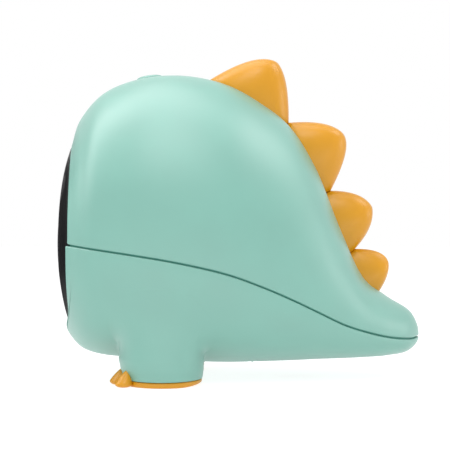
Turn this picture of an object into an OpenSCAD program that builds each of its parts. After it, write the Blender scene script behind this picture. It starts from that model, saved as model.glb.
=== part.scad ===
// Bubble machine in the shape of a standing dinosaur, as separate sub-parts.
// Millimetres, +Z up, the face looks along -X, the floor is Z = 0.

/* [Body] */
// Overall length from the panel to the tail tip
body_l = 189; // [186:1:196]
// Overall width across the seam
body_w = 120; // [118:1:126]
// Height of the crown above the floor
body_h = 159; // [157:1:164]
// Wall thickness of both shells
wall = 2.2; // [1.8:0.1:2.4]
// Gap of the seam between the shells
seam_gap = 0.8; // [0.6:0.1:1.2]
// Squareness of the upper cross section, 2 is an ellipse
upper_round = 2.25; // [2.1:0.05:2.4]
// Squareness of the lower cross section, 2 is an ellipse
lower_round = 2.5; // [2.4:0.05:2.6]

/* [Front panel] */
// Thickness of the domed panel
panel_t = 2.4; // [2:0.1:2.8]
// Inner radius of the bubble outlet
mouth_r = 15.4; // [14:0.1:16]
// Wall of the outlet tube
mouth_wall = 1.4; // [1.2:0.1:1.8]
// Width of the outlet lip that laps on the panel
lip_w = 2.1; // [1.6:0.1:2.6]
// Radius of each eye window
eye_r = 7; // [5:0.5:8]
// Sideways distance of each eye window from the middle
eye_y = 23; // [20:0.5:25]
// Height of the eye windows above the outlet axis
eye_up = 29; // [27:0.5:31]

/* [Legs and feet] */
// Distance of the leg axis from the face
leg_back = 55.5; // [54.5:0.5:56.5]
// Sideways distance of the leg axis from the middle
leg_y = 37.5; // [37:0.1:38]
// Radius of the leg where it meets the belly
leg_r = 21; // [20.6:0.1:21]
// Radius of the leg just above the sole
ankle_r = 19.8; // [19:0.1:20.4]
// Thickness of the sole
sole_t = 4; // [3:0.1:5]
// Radius of the sole
sole_r = 20.3; // [19.8:0.1:20.5]
// Radius of a toe at the floor
toe_r = 4.6; // [4:0.1:5]
// Height of a toe
toe_h = 7.6; // [7:0.1:9]
// Distance of the toes from the leg axis
toe_reach = 21.6; // [20:0.1:22]
// Angle between two toes
toe_spread = 32; // [28:1:36]

/* [Dorsal spikes] */
// Half thickness of the first spike, the others follow
spike_half = 11; // [9:0.5:13]
// Radius of the pegs that hold the spikes
peg_r = 2; // [1.5:0.1:2.5]
// Length of a peg below the back
peg_l = 5; // [4:0.5:7]

/* [Button] */
// Distance of the button axis from the face
button_back = 46.5; // [45.5:0.5:48]
// Lean of the button towards the face, in degrees
button_lean = 8; // [7:0.5:9]
// Radius of the button cap
button_r = 6.9; // [6:0.1:7.2]
// Height of the cap above the crown
button_up = 1.3; // [1.2:0.1:2]
// Travel of the button
button_travel = 1.2; // [0.8:0.1:1.2]

/* [Bubble wheel] */
// Number of wands on the wheel
wand_n = 8; // [6:1:8]
// Outer radius of one wand ring
wand_r = 7; // [6:0.1:7.2]
// Radius of the circle the wands sit on
wand_circle = 19; // [18.8:0.1:19.4]
// Thickness of the wheel
wheel_t = 5; // [4:0.5:6]
// Radius of the wheel shaft
shaft_r = 2; // [1.5:0.1:2.2]
// Distance of the wheel from the face
wheel_back = 24.5; // [24.1:0.1:25.5]
// Wall of the solution tank
tank_wall = 1.8; // [1.4:0.1:2]
// Room between the wheel and the tank
tank_room = 2.4; // [2:0.1:2.6]
// Half width of the steel counterweights
weight_half = 17; // [14:0.5:17]

/* [Drive] */
// Gear module
gear_module = 0.8; // [0.76:0.01:0.8]
// Teeth of the wheel gear
wheel_teeth = 26; // [24:2:26]
// Teeth of the motor pinion
pinion_teeth = 13; // [12:1:13]
// Face width of the gears
gear_t = 3.6; // [3:0.1:4]
// Tooth backlash
backlash = 0.16; // [0.12:0.01:0.2]
// Thickness of the mechanism plate
plate_t = 2.5; // [2:0.1:3]
// Half width of the mechanism plate
plate_half = 22; // [21.8:0.1:22.5]

/* [Blower] */
// Radius of the blower wheel
fan_r = 19.5; // [17:0.5:21]
// Inner radius of the blower housing
scroll_r = 25; // [24.5:0.1:26]
// Half depth of the blower inside
scroll_half = 7.5; // [7.5:0.1:8]
// Wall of the blower housing
scroll_wall = 1.4; // [1.2:0.1:1.6]
// Half height of the air duct inside
duct_half = 6; // [5.5:0.1:6.2]
// Radius of the air inlet in the blower cover
inlet_r = 12; // [10:0.5:13]
// Number of blades
blade_n = 9; // [7:1:11]
// Radius of the fan motor
motor_r = 10; // [9:0.1:10.2]

/* [Batteries] */
// Radius of one cell
cell_r = 7.1; // [7:0.05:7.25]
// Length of one cell without its button
cell_l = 49; // [48.5:0.1:49.2]
// Wall of the battery box
box_wall = 1.6; // [1.4:0.1:1.8]

/* [Fits] */
// Gap left between parts that sit in one another
fit_gap = 0.3; // [0.25:0.01:0.35]
// Radial running clearance of a shaft
run_gap = 0.05; // [0.03:0.01:0.08]
// Radius of the screw shanks
screw_r = 1.25; // [1.1:0.05:1.3]

/* [Hidden] */
$fn = 48;
// Drawn body lines at 189 x 120 x 159, stretched to the body sizes below
top_drawn = [[-88.4, 121.6], [-83.8, 135.8], [-70.7, 149.9], [-51, 157.3], [-29, 158.6],
  [-7, 153.9], [11, 144.3], [27, 130.8], [40, 109.5], [52, 79.5],
  [64, 53.6], [77, 42.6], [89, 34.6], [94.6, 22]];
seam_drawn = [[-86.8, 46, 70], [-80, 52.6, 69], [-71, 56.4, 67.7], [-51, 59.6, 64.8], [-29, 60, 61],
  [-7, 58.3, 55.8], [11, 53.7, 49.2], [27, 48, 42.1], [40, 42.4, 35.7], [52, 36.5, 29.8],
  [64, 29.8, 25.6], [77, 21.2, 22.3], [88.5, 11.2, 21], [94.6, 0, 21.5]];
low_drawn = [[-91.4, 31.8], [-87.8, 19.9], [-71, 11.7], [-51, 9.6], [-29, 8.3],
  [-7, 7.7], [11, 8.2], [27, 8.9], [40, 9.5], [52, 9.9],
  [64, 10.4], [77, 11.3], [88.5, 13.8], [94.6, 21.5]];
// Spikes as front foot, rear foot, tip, front handle, rear handle, thickness share, and where
// the front and rear of the foot meet the back
spike_drawn = [
  [[-16, 156.9], [25.3, 134.1], [20.4, 166], [9, 172.4], [26.6, 160], 1, -16, 24.5],
  [[26.1, 134.3], [47.6, 98.9], [54.8, 128], [48, 136.2], [59.8, 121], 0.9, 25.2, 44.7],
  [[48.2, 97.7], [60.7, 68.1], [70.2, 89.6], [66, 99.6], [72, 79], 0.75, 45.3, 57.5],
  [[60.9, 66.9], [73.7, 45], [78.6, 60.5], [75, 70], [80, 54], 0.58, 58.1, 73.7]];

kx = body_l / 189;
ky = body_w / 120;
kz = body_h / 159;
front_x = -body_l / 2;
top_xz = [for (p = top_drawn) [p[0] * kx, p[1] * kz]];
seam_xyz = [for (p = seam_drawn) [p[0] * kx, p[1] * ky, p[2] * kz]];
low_xz = [for (p = low_drawn) [p[0] * kx, p[1] * kz]];
last = len(top_xz) - 1;
// Each line gets one more point at both ends, so that the tail closes round
top_line = concat([2 * top_xz[0] - top_xz[1]], top_xz, [low_xz[last - 1]]);
low_line = concat([2 * low_xz[0] - low_xz[1]], low_xz, [top_xz[last - 1]]);
seam_end = seam_xyz[last - 1];
seam_line = concat([2 * seam_xyz[0] - seam_xyz[1]], seam_xyz, [[seam_end[0], -seam_end[1], seam_end[2]]]);

rows = 34;
arc_steps = 24;
tail_u = last - 0.06;
cavity_u = 11.9;
mouth_z = seam_xyz[0][2];
pole_x = front_x - 0.4;
lip_r = mouth_r + mouth_wall + lip_w;
spike_gap = fit_gap + 0.1;

wheel_x = front_x + wheel_back;
wheel_z = mouth_z - wand_circle;
wheel_r = wand_circle + wand_r;
plate_x = wheel_x + 18.5;
plate_rear = plate_x + plate_t;
gear_x0 = plate_x - 1.2 - gear_t;
gear_x1 = plate_x - 1.2;
gear_reach = gear_module * (wheel_teeth + pinion_teeth) / 2;

leg_x = front_x + leg_back;
button_x = front_x + button_back;

box_x0 = plate_rear + 1.6;
box_in_x0 = box_x0 + box_wall;
box_in_x1 = box_in_x0 + cell_l + 3.8;
box_x1 = box_in_x1 + box_wall;
cell_y = cell_r + 0.3;
box_half = 2 * cell_r + 0.8 + box_wall;
box_z0 = belly_z(box_x0, box_half) + wall + 0.5;
cell_low_z = box_z0 + cell_r + 0.4;
cell_high_z = cell_low_z + 2 * cell_r + fit_gap;
box_in_top = cell_high_z + cell_r + fit_gap;
box_top = box_in_top + box_wall;
ear_x = box_x1 - 8.6;
ear_y = box_half + 4;

door_half = 15;
door_x0 = box_x0 - 6.8;
door_x1 = box_x1 - 0.4;
hinge_x = door_x1 - 2;
hinge_z = belly_z(hinge_x, 0) + 1.8;
door_end = hinge_x - 2.4;
bar_x = box_x0 - 3.6;
bar_z = belly_z(door_x0, door_half) + wall + fit_gap;
head_z = belly_z(bar_x, 0) + 1;

fan_x = plate_x + 30.5;
fan_z = mouth_z - duct_half + scroll_r;
duct_end = wheel_x + 7;
scroll_out = scroll_r + scroll_wall;
ear_at = scroll_r + 3;

tank_x0 = wheel_x - 10.8;
tank_x1 = wheel_x + 10.8;
tank_half = wheel_r + tank_room + tank_wall + 0.8;
tank_z0 = wheel_z - wheel_r - tank_room - tank_wall;
tank_z1 = wheel_z - 5;
tank_cut = 11;
weight_z = belly_z(wheel_x - 4, weight_half) + wall + fit_gap;
chin_x = tank_x0 - 4.4;
chin_z = mouth_z - 31;
chin_low = spline(low_line, u_at(chin_x + 4, low_line))[1] + wall / 2;

tail_x = 71 * kx;
tail_seam = seam_z(tail_x);
plate_z0 = belly_z(plate_x, plate_half) + wall + 2.2;
plate_z1 = mouth_z + 14;
tab_x = plate_x - 3.6;
tab_y = 17.5;

// Smooth line through a list of points, u counts the points
function spline(p, u) = let (k = min(floor(u), len(p) - 4), t = u - k, a = p[k], b = p[k + 1], c = p[k + 2],
  d = p[k + 3]) 0.5 * (2 * b + (c - a) * t + (2 * a - 5 * b + 4 * c - d) * t * t
  + (3 * b - a - 3 * c + d) * t * t * t);
function slope(p, u) = spline(p, min(u + 0.02, last)) - spline(p, max(u - 0.02, 0));
function u_at(x, p = seam_line, lo = 0, hi = 13, k = 24) = let (m = (lo + hi) / 2) k == 0 ? m
  : spline(p, m)[0] < x ? u_at(x, p, m, hi, k - 1) : u_at(x, p, lo, m, k - 1);
function seam_z(x) = spline(seam_line, u_at(x))[2];

// Height of the back and of the belly over a plan position
function back_z(x, y) = let (u = u_at(x), s = spline(seam_line, u), zs = s[2] + seam_gap / 2)
  zs + (spline(top_line, u)[1] - zs) * pow(1 - pow(min(abs(y) / s[1], 1), upper_round), 1 / upper_round);
function belly_z(x, y) = let (u = u_at(x), s = spline(seam_line, u), zs = s[2] - seam_gap / 2)
  zs + (spline(low_line, u)[1] - zs) * pow(1 - pow(min(abs(y) / s[1], 1), lower_round), 1 / lower_round);
function foot_z(x, y) = let (d = slope(top_line, u_at(x))) back_z(x, y) + spike_gap * norm(d) / d[0];

// Body lines moved inward by w
function top_in(u, w) = let (d = slope(top_line, u)) spline(top_line, u) + w * [d[1], -d[0]] / norm(d);
function low_in(u, w) = let (d = slope(low_line, u)) spline(low_line, u) + w * [-d[1], d[0]] / norm(d);
function seam_in(u, w) = let (d = slope(seam_line, u), n = norm([d[0], d[1]]))
  spline(seam_line, u) + [w * d[1] / n, -w * d[0] / n, 0];

// Half a cross section, up is 1 for the upper shell and -1 for the lower one
function arc(u, up, w, fill = 1) = let (s = seam_in(u, w), e = up > 0 ? top_in(u, w) : low_in(u, w),
  q = 2 / (up > 0 ? upper_round : lower_round), zs = s[2] + up * seam_gap / 2)
  [for (i = [0:arc_steps]) let (a = 180 * i / arc_steps, c = cos(a), h = pow(sin(a), q))
    [s[0] + (e[0] - s[0]) * pow(sin(a), 6), up * sign(c) * s[1] * pow(abs(c), q),
      zs + (e[1] - zs) * h * fill]];
function flip(p) = [for (i = [len(p) - 1:-1:0]) p[i]];
function band(u, up) = let (w = min(wall, 0.45 * spline(seam_line, u)[1]),
  fill = max(0, min(1, (cavity_u - u) / 0.9))) concat(arc(u, up, 0), flip(arc(u, up, w, fill)));

// Triangles between closed rings of n points, and end caps
function sides(n, m, wrap = 0) = [for (j = [0:m - 2 + wrap], i = [0:n - 1], k = [0, 1])
  let (a = j * n, b = ((j + 1) % m) * n, i2 = (i + 1) % n)
  k == 0 ? [a + i, b + i, b + i2] : [a + i, b + i2, a + i2]];
function fan(n, at, turn) = [for (i = [1:n - 2]) turn ? [at, at + i + 1, at + i] : [at, at + i, at + i + 1]];
function band_cap(n, at, turn) = [for (i = [0:n / 2 - 2], k = [0, 1]) let (a = at + i, b = at + i + 1,
  c = at + n - 2 - i, d = at + n - 1 - i)
  k == 0 ? (turn ? [a, c, b] : [a, b, c]) : (turn ? [a, d, c] : [a, c, d])];
function join(rings) = [for (r = rings, p = r) p];

// Outline of the panel at angle a, the dome over it, and the dome depth over a point
function rim(a) = let (s = seam_xyz[0], e = sin(a) >= 0 ? top_xz[0] : low_xz[0],
  q = 2 / (sin(a) >= 0 ? upper_round : lower_round))
  [s[0] + (e[0] - s[0]) * pow(sin(a), 6), sign(cos(a)) * s[1] * pow(abs(cos(a)), q),
    s[2] + (e[1] - s[2]) * pow(abs(sin(a)), q)];
function dome(r, a) = let (p = rim(a))
  [pole_x + (p[0] - pole_x) * pow(r, 3), p[1] * r, mouth_z + (p[2] - mouth_z) * r];
function dome_x(y, z) = let (s = seam_xyz[0], e = z >= mouth_z ? top_xz[0] : low_xz[0],
  n = z >= mouth_z ? upper_round : lower_round,
  r = pow(pow(abs(y) / s[1], n) + pow(abs((z - mouth_z) / (e[1] - mouth_z)), n), 1 / n),
  c = pow(abs(y) / (r * s[1]), n))
  pole_x + (s[0] + (e[0] - s[0]) * pow(1 - c, 3) - pole_x) * pow(r, 3);

// Rounded line between a foot and the tip of a spike
function bow(a, b, c, t) = a * (1 - t) * (1 - t) + b * 2 * t * (1 - t) + c * t * t;

// Between a and b, c runs from 1 at b to -1 at a
function blend(a, b, c) = (a + b) / 2 + (b - a) / 2 * c;

// Outline of a spur gear with involute flanks
function inv(r, rb) = let (a = acos(min(1, rb / r))) tan(a) * 180 / PI - a;
function gear_outline(n) = let (rp = gear_module * n / 2, rb = rp * cos(20), ra = rp + 0.8 * gear_module,
  rf = rp - 1.1 * gear_module, r0 = max(rb, rf) + 0.02,
  radii = concat(rf < r0 - 0.1 ? [rf] : [], [for (k = [0:4]) r0 + (ra - r0) * k / 4]))
  [for (i = [0:n - 1], k = [0:2 * len(radii) - 1])
    let (m = len(radii), r = k < m ? radii[k] : radii[2 * m - 1 - k],
      h = 90 / n - backlash / rp * 90 / PI + inv(rp, rb) - inv(max(r, rb), rb),
      a = 360 * i / n + (k < m ? -h : h)) r * [cos(a), sin(a)]];

module rod_x(x0, x1, r, y = 0, z = 0) {
  translate([x0, y, z]) rotate([0, 90, 0]) cylinder(r = r, h = x1 - x0);
}

module rod_y(y0, y1, r, x = 0, z = 0) {
  translate([x, y1, z]) rotate([90, 0, 0]) cylinder(r = r, h = y1 - y0);
}

module rod_z(z0, z1, r, x = 0, y = 0) {
  translate([x, y, z0]) cylinder(r = r, h = z1 - z0);
}

module block(a, b) {
  translate(a) cube(b - a);
}

// A flat outline drawn in Y and Z, thick along X
module slab_x(x0, x1) {
  translate([x0, 0, 0]) rotate([90, 0, 90]) linear_extrude(x1 - x0) children();
}

// A flat outline drawn in X and Z, thick along Y
module slab_y(y0, y1) {
  translate([0, y1, 0]) rotate([90, 0, 0]) linear_extrude(y1 - y0) children();
}

module loft(rings) {
  n = len(rings[0]);
  m = len(rings);
  polyhedron(join(rings), concat(fan(n, 0, false), sides(n, m), fan(n, (m - 1) * n, true)));
}

module skin(up) {
  rings = [for (j = [0:rows - 1]) band(tail_u * j / (rows - 1), up)];
  n = len(rings[0]);
  polyhedron(join(rings), concat(band_cap(n, 0, false), sides(n, rows), band_cap(n, (rows - 1) * n, true)));
}

// Screw with a round head, drawn head down, origin under the head
module screw(l, r = screw_r) {
  translate([0, 0, -1.8 * r]) cylinder(r = 2 * r, h = 1.8 * r);
  cylinder(r = r, h = l);
}

module at_button() {
  translate([button_x, 0, back_z(button_x, 0)]) rotate([0, -button_lean, 0]) children();
}

module both_sides() {
  children();
  mirror([0, 1, 0]) children();
}

// Pegs of one spike, grown by g for their holes
module pegs(i, g = 0) {
  a = spike_drawn[i][6] * kx;
  b = spike_drawn[i][7] * kx;
  for (t = [0.32, 0.68]) {
    x = a + (b - a) * t;
    d = slope(top_line, u_at(x));
    translate([x, 0, back_z(x, 0)]) rotate([0, -atan2(d[1], d[0]), 0])
      translate([0, 0, -peg_l - 3 * g]) cylinder(r = peg_r + g, h = peg_l + 1.4 + 6 * g);
  }
}

module upper_shell() {
  color("mediumaquamarine") difference() {
    union() {
      skin(1);
      at_button() for (s = [-1, 1]) translate([0, 12.5 * s, -14.3]) cylinder(r = 2.6, h = 11.2);
      rod_z(tail_seam + 0.8, back_z(tail_x, 0) - wall / 2 - 0.4, 3.5, tail_x);
    }
    at_button() translate([0, 0, -8]) cylinder(r = button_r + fit_gap, h = 14);
    at_button() for (s = [-1, 1]) translate([0, 12.5 * s, -15]) cylinder(r = 0.9, h = 7.5);
    rod_z(tail_seam, tail_seam + 14, screw_r + 0.05, tail_x);
    for (i = [0:3]) pegs(i, 0.15);
  }
}

// Round leg below the belly, cut on a slope so that it ends in the shell wall
module leg(r1, r2, lift) {
  difference() {
    union() {
      translate([leg_x, leg_y, sole_t + 0.2]) cylinder(r1 = r1, r2 = r2, h = 10);
      translate([leg_x, leg_y, sole_t + 10.2]) cylinder(r1 = r2, r2 = r2 - 1.2, h = 40);
    }
    translate([leg_x, leg_y - leg_r, belly_z(leg_x, leg_y - leg_r) + wall / 2 + lift])
      rotate([41, 0, 0]) translate([-40, -30, 0]) cube([80, 120, 60]);
  }
}

module lower_shell() {
  color("mediumaquamarine") {
    difference() {
      union() {
        skin(-1);
        both_sides() leg(ankle_r, leg_r, 0);
        both_sides() rod_z(belly_z(tab_x, tab_y) + wall / 2, plate_z0, 3.4, tab_x, tab_y);
        both_sides() rod_z(belly_z(ear_x, ear_y) + wall / 2, box_z0 + 1, 3.2, ear_x, ear_y);
        rod_z(belly_z(tail_x, 0) + wall / 2, tail_seam - 0.8, 4.4, tail_x);
        for (s = [-1, 1]) {
          block([wheel_x - 3, 18.6 * s - 1, belly_z(wheel_x - 3, 19.6) + wall / 2],
            [wheel_x + 7, 18.6 * s + 1, tank_z0]);
          block([wheel_x - 3, 10 * s - 1, belly_z(wheel_x - 3, 11) + wall / 2],
            [wheel_x + 7, 10 * s + 1, weight_z]);
          block([chin_x + 1.8, 10 * s - 1, chin_low], [chin_x + 4, 10 * s + 1, chin_z]);
        }
      }
      both_sides() leg_bore();
      block([door_x0, -door_half, 4], [door_x1, door_half, box_z0 + 1]);
      for (k = [0:4]) block([box_x1 + 12 + 5 * k, -11, 4], [box_x1 + 14.4 + 5 * k, 11, 14]);
      both_sides() rod_z(plate_z0 - 3.4, plate_z0 + 1, 1.1, tab_x, tab_y);
      both_sides() rod_z(box_z0 - 2.4, box_z0 + 2, 1.1, ear_x, ear_y);
      rod_z(2, tail_seam - 7, 3, tail_x);
      rod_z(2, tail_seam + 1, screw_r + 0.25, tail_x);
    }
    difference() {
      block([bar_x - 3, -18, bar_z], [bar_x + 3, 18, bar_z + 2]);
      rod_z(0, 40, screw_r + 0.1, bar_x);
    }
    for (s = [-1, 1]) difference() {
      block([hinge_x - 1.6, 12.6 * s - 1.1, hinge_z - 1.4], [door_x1 + 2, 12.6 * s + 1.1, hinge_z + 1.7]);
      rod_y(-20, 20, 0.9 + run_gap, hinge_x, hinge_z);
    }
  }
}

module leg_bore() {
  translate([leg_x, leg_y, 0]) cylinder(r = ankle_r - wall, h = 9);
  leg(ankle_r - wall, leg_r - wall, 12);
}

module front_panel() {
  n = 48;
  edge = 1 - fit_gap / seam_xyz[0][1];
  inner = edge - 2.6 / seam_xyz[0][1];
  line = concat([for (k = [0:8]) [0.22 + (edge - 0.22) * k / 8, 0]],
    [[inner, panel_t], [inner - 0.004, 8], [inner - 0.042, 8], [inner - 0.046, panel_t]],
    [for (k = [0:6]) [(inner - 0.06) * (1 - k / 6) + 0.22 * k / 6, panel_t]]);
  rings = [for (q = line) [for (i = [0:n - 1]) dome(q[0], 360 * i / n) + [q[1], 0, 0]]];
  color("black") difference() {
    polyhedron(join(rings), sides(n, len(rings), 1));
    rod_x(front_x - 5, front_x + 20, mouth_r + mouth_wall + fit_gap, 0, mouth_z);
    rod_x(front_x - 5, front_x + 0.6 + fit_gap, lip_r + fit_gap, 0, mouth_z);
    for (s = [-1, 1]) rod_x(front_x - 5, front_x + 20, eye_r + fit_gap, eye_y * s, mouth_z + eye_up);
  }
}

module outlet_ring() {
  r = mouth_r + mouth_wall;
  rear = wheel_x - wheel_t / 2 - 4.5;
  color("dimgray") translate([0, 0, mouth_z]) rotate([0, 90, 0]) rotate_extrude($fn = 64)
    polygon([[mouth_r + 0.4, front_x], [lip_r - 0.4, front_x], [lip_r, front_x + 0.3],
      [lip_r, front_x + 0.6], [r, front_x + 0.6], [r, rear], [mouth_r, rear],
      [mouth_r, front_x + 0.5]]);
}

module eye(s) {
  n = 32;
  z = mouth_z + eye_up;
  rings = [for (q = [[0.15, 0], [0.55, 0], [1, 0], [1, panel_t], [0.4, panel_t + 0.6]])
    [for (i = [0:n - 1]) let (y = eye_y * s + eye_r * q[0] * cos(360 * i / n),
      h = z + eye_r * q[0] * sin(360 * i / n)) [dome_x(y, h) + q[1], y, h]]];
  color("dimgray") loft(rings);
}

module left_eye() {
  eye(-1);
}

module right_eye() {
  eye(1);
}

// One plump spike: ellipses between its front and rear outline, on a skirt that follows the back
module spike(i) {
  n = 28;
  m = 12;
  d = [for (k = [0:4]) [spike_drawn[i][k][0] * kx, spike_drawn[i][k][1] * kz]];
  x0 = spike_drawn[i][6] * kx;
  x1 = spike_drawn[i][7] * kx;
  half = spike_half * spike_drawn[i][5];
  skirt0 = d[0] - [x0, foot_z(x0, 0)];
  skirt1 = d[1] - [x1, foot_z(x1, 0)];
  base = [for (q = [0.08, 0.4, 0.72, 1]) [for (k = [0:n - 1])
    let (a = 360 * k / n, x = blend(x0, x1, q * cos(a)), y = half * q * sin(a)) [x, y, foot_z(x, y)]]];
  rings = [for (j = [0:m])
    let (h = sin(88 * j / m), f = bow(d[0], d[3], d[2], h), r = bow(d[1], d[4], d[2], h))
    [for (k = [0:n - 1])
      let (c = cos(360 * k / n), b = base[3][k], e = blend(f, r, c),
        lift = [b[0], b[2]] + blend(skirt0, skirt1, c) - blend(d[0], d[1], c), p = e + (1 - h) * lift)
      [p[0], b[1] * (1 - h * h), p[1]]]];
  color("orange") {
    loft(concat(base, rings));
    pegs(i);
  }
}

module dorsal_spike_1() {
  spike(0);
}

module dorsal_spike_2() {
  spike(1);
}

module dorsal_spike_3() {
  spike(2);
}

module dorsal_spike_4() {
  spike(3);
}

module foot() {
  color("orange") {
    translate([leg_x, leg_y, 0]) {
      cylinder(r1 = sole_r - 0.6, r2 = sole_r, h = 0.8);
      translate([0, 0, 0.8]) cylinder(r = sole_r, h = sole_t - 0.8);
      cylinder(r = ankle_r - wall - fit_gap, h = sole_t + 3.5);
    }
    difference() {
      for (a = [-toe_spread, 0, toe_spread]) translate([leg_x, leg_y, 0]) rotate([0, 0, 180 + a])
        translate([toe_reach, 0, 0]) rotate_extrude($fn = 40)
          polygon(concat([[0, 0], [toe_r - 0.8, 0], [toe_r, 0.9]],
            [for (k = [1:6]) let (t = 90 * k / 6) [toe_r * pow(cos(t), 0.8), 2.2 + (toe_h - 2.2) * sin(t)]]));
      translate([leg_x, leg_y, sole_t]) cylinder(r1 = ankle_r + fit_gap, r2 = leg_r + fit_gap, h = 10.2);
    }
  }
}

module left_foot() {
  mirror([0, 1, 0]) foot();
}

module right_foot() {
  foot();
}

module power_button() {
  r = button_r;
  color("mediumaquamarine") at_button() rotate_extrude()
    polygon([[0, -9], [2.5, -9], [2.5, -5.2], [r + 1.6, -5.2], [r + 1.6, -3.9], [r, -3.9], [r, 0.4],
      [r - 0.35, button_up - 0.6], [r - 1.1, button_up - 0.15], [r - 2, button_up], [0, button_up]]);
}

module switch_board() {
  color("darkgreen") at_button() difference() {
    translate([-8, -16, -16.2]) cube([16, 32, 1.6]);
    for (s = [-1, 1]) translate([0, 12.5 * s, -18]) cylinder(r = 1.2, h = 5);
  }
}

module tact_switch() {
  color("gray") at_button() {
    translate([-3, -3, -14.6]) cube([6, 6, 3.5]);
    translate([0, 0, -11.1]) cylinder(r = 1.7, h = 2.1 - button_travel - 0.2);
  }
}

module board_screws() {
  color("silver") at_button() for (s = [-1, 1]) translate([0, 12.5 * s, -16.2]) screw(6, 0.88);
}

module tail_screw() {
  color("silver") translate([tail_x, 0, tail_seam - 7]) screw(18, screw_r);
}

// Wall patch of the belly between two lengths, as a closed skin
module belly_patch(x0, x1, half) {
  nx = 14;
  ny = 8;
  rings = [for (i = [0:nx]) let (x = x0 + (x1 - x0) * i / nx)
    concat([for (k = [0:ny]) let (y = half - 2 * half * k / ny) [x, y, belly_z(x, y) + wall]],
      [for (k = [0:ny]) let (y = -half + 2 * half * k / ny) [x, y, belly_z(x, y)]])];
  n = len(rings[0]);
  polyhedron(join(rings), concat(band_cap(n, 0, false), sides(n, nx + 1), band_cap(n, nx * n, true)));
}

module battery_door() {
  color("mediumaquamarine") difference() {
    union() {
      belly_patch(door_x0 + 0.5, door_end, door_half - 0.5);
      rod_y(-11.2, 11.2, 1.5, hinge_x, hinge_z);
      rod_y(-13.5, 13.5, 0.9, hinge_x, hinge_z);
      block([door_end - 2, -11.2, hinge_z - 0.7], [hinge_x, 11.2, hinge_z + 0.7]);
    }
    rod_z(0, 40, screw_r + 0.2, bar_x);
    rod_z(0, head_z, 2 * screw_r + fit_gap, bar_x);
  }
}

module door_screw() {
  color("silver") translate([bar_x, 0, head_z]) screw(bar_z + 1.7 - head_z, screw_r);
}

module battery_box() {
  color("dimgray") difference() {
    union() {
      block([box_x0, -box_half, box_z0], [box_x1, box_half, box_top]);
      for (s = [-1, 1]) block([ear_x - 4, s * ear_y - 4, box_z0 + 1], [ear_x + 4, s * ear_y + 4, box_z0 + 3]);
    }
    block([box_in_x0, -box_half + box_wall, box_z0 - 2], [box_in_x1, box_half - box_wall, box_in_top]);
    for (s = [-1, 1]) rod_z(box_z0 - 2, box_z0 + 6, screw_r + 0.15, ear_x, s * ear_y);
    for (x = [fan_x - 10, fan_x + 2]) rod_z(box_in_top - 3, box_top + 2, 1.05, x);
  }
}

module battery_box_screws() {
  color("silver") for (s = [-1, 1]) translate([ear_x, s * ear_y, box_z0 + 3])
    rotate([180, 0, 0]) screw(5, 1.05);
}

// One cell along X, way is 1 when its button looks to the tail
module cell(y, z, way) {
  mid = (box_in_x0 + box_in_x1) / 2;
  color("goldenrod") translate([mid, y, z]) rotate([0, 90 * way, 0]) translate([0, 0, -cell_l / 2 - 0.6]) {
    cylinder(r = cell_r, h = cell_l);
    cylinder(r = 2.7, h = cell_l + 1.4);
  }
}

module cell_1() {
  cell(-cell_y, cell_low_z, 1);
}

module cell_2() {
  cell(cell_y, cell_low_z, -1);
}

module cell_3() {
  cell(-cell_y, cell_high_z, -1);
}

module cell_4() {
  cell(cell_y, cell_high_z, 1);
}

module battery_contacts() {
  color("silver") for (s = [-1, 1], z = [cell_low_z, cell_high_z]) {
    block([box_in_x0, s * cell_y - 5, z - 5], [box_in_x0 + 0.4, s * cell_y + 5, z + 5]);
    block([box_in_x1 - 0.4, s * cell_y - 5, z - 5], [box_in_x1, s * cell_y + 5, z + 5]);
    block([box_in_x0 + 0.4, s * cell_y - 1.6, z - 1.6], [box_in_x0 + 0.8, s * cell_y + 1.6, z + 1.6]);
    block([box_in_x1 - 0.8, s * cell_y - 1.6, z - 1.6], [box_in_x1 - 0.4, s * cell_y + 1.6, z + 1.6]);
  }
}

module solution_tank() {
  color("lightcyan") difference() {
    slab_x(tank_x0, tank_x1) tank_outline(0);
    slab_x(tank_x0 + tank_wall, tank_x1 - tank_wall) tank_outline(tank_wall);
  }
}

module tank_outline(w) {
  top = tank_z1 + (w > 0 ? 1 : 0);
  side = tank_half - w;
  flat = tank_half - tank_cut - 0.4 * w;
  polygon([[-side, top], [-side, tank_z0 + tank_cut], [-flat, tank_z0 + w], [flat, tank_z0 + w],
    [side, tank_z0 + tank_cut], [side, top]]);
}

// Steel blocks low in the front, so that the toy stands on its feet with an empty tank
module counterweights() {
  color("gray") {
    block([wheel_x - 4, -weight_half, weight_z], [tank_x1, weight_half, tank_z0 - fit_gap]);
    block([chin_x - 2.8, -weight_half - 3, chin_z],
      [tank_x0 - fit_gap, weight_half + 3, mouth_z - lip_r]);
  }
}

module bubble_wheel() {
  x0 = wheel_x - wheel_t / 2;
  color("orange") difference() {
    union() {
      translate([0, 0, wheel_z]) slab_x(x0, x0 + wheel_t) difference() {
        union() {
          for (k = [0:wand_n - 1]) rotate(90 + 360 * k / wand_n) {
            translate([wand_circle, 0]) circle(r = wand_r);
            translate([0, -1]) square([wand_circle, 2]);
          }
        }
        for (k = [0:wand_n - 1]) rotate(90 + 360 * k / wand_n)
          translate([wand_circle, 0]) circle(r = wand_r - 1.5);
      }
      rod_x(x0 - 0.8, x0 + wheel_t + 1.5, 5, 0, wheel_z);
    }
    rod_x(x0 - 5, x0 + wheel_t + 5, shaft_r + 0.02, 0, wheel_z);
  }
}

module wheel_shaft() {
  color("silver") rod_x(wheel_x - wheel_t / 2 - 1.4, plate_rear + 2.8, shaft_r, 0, wheel_z);
}

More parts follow.
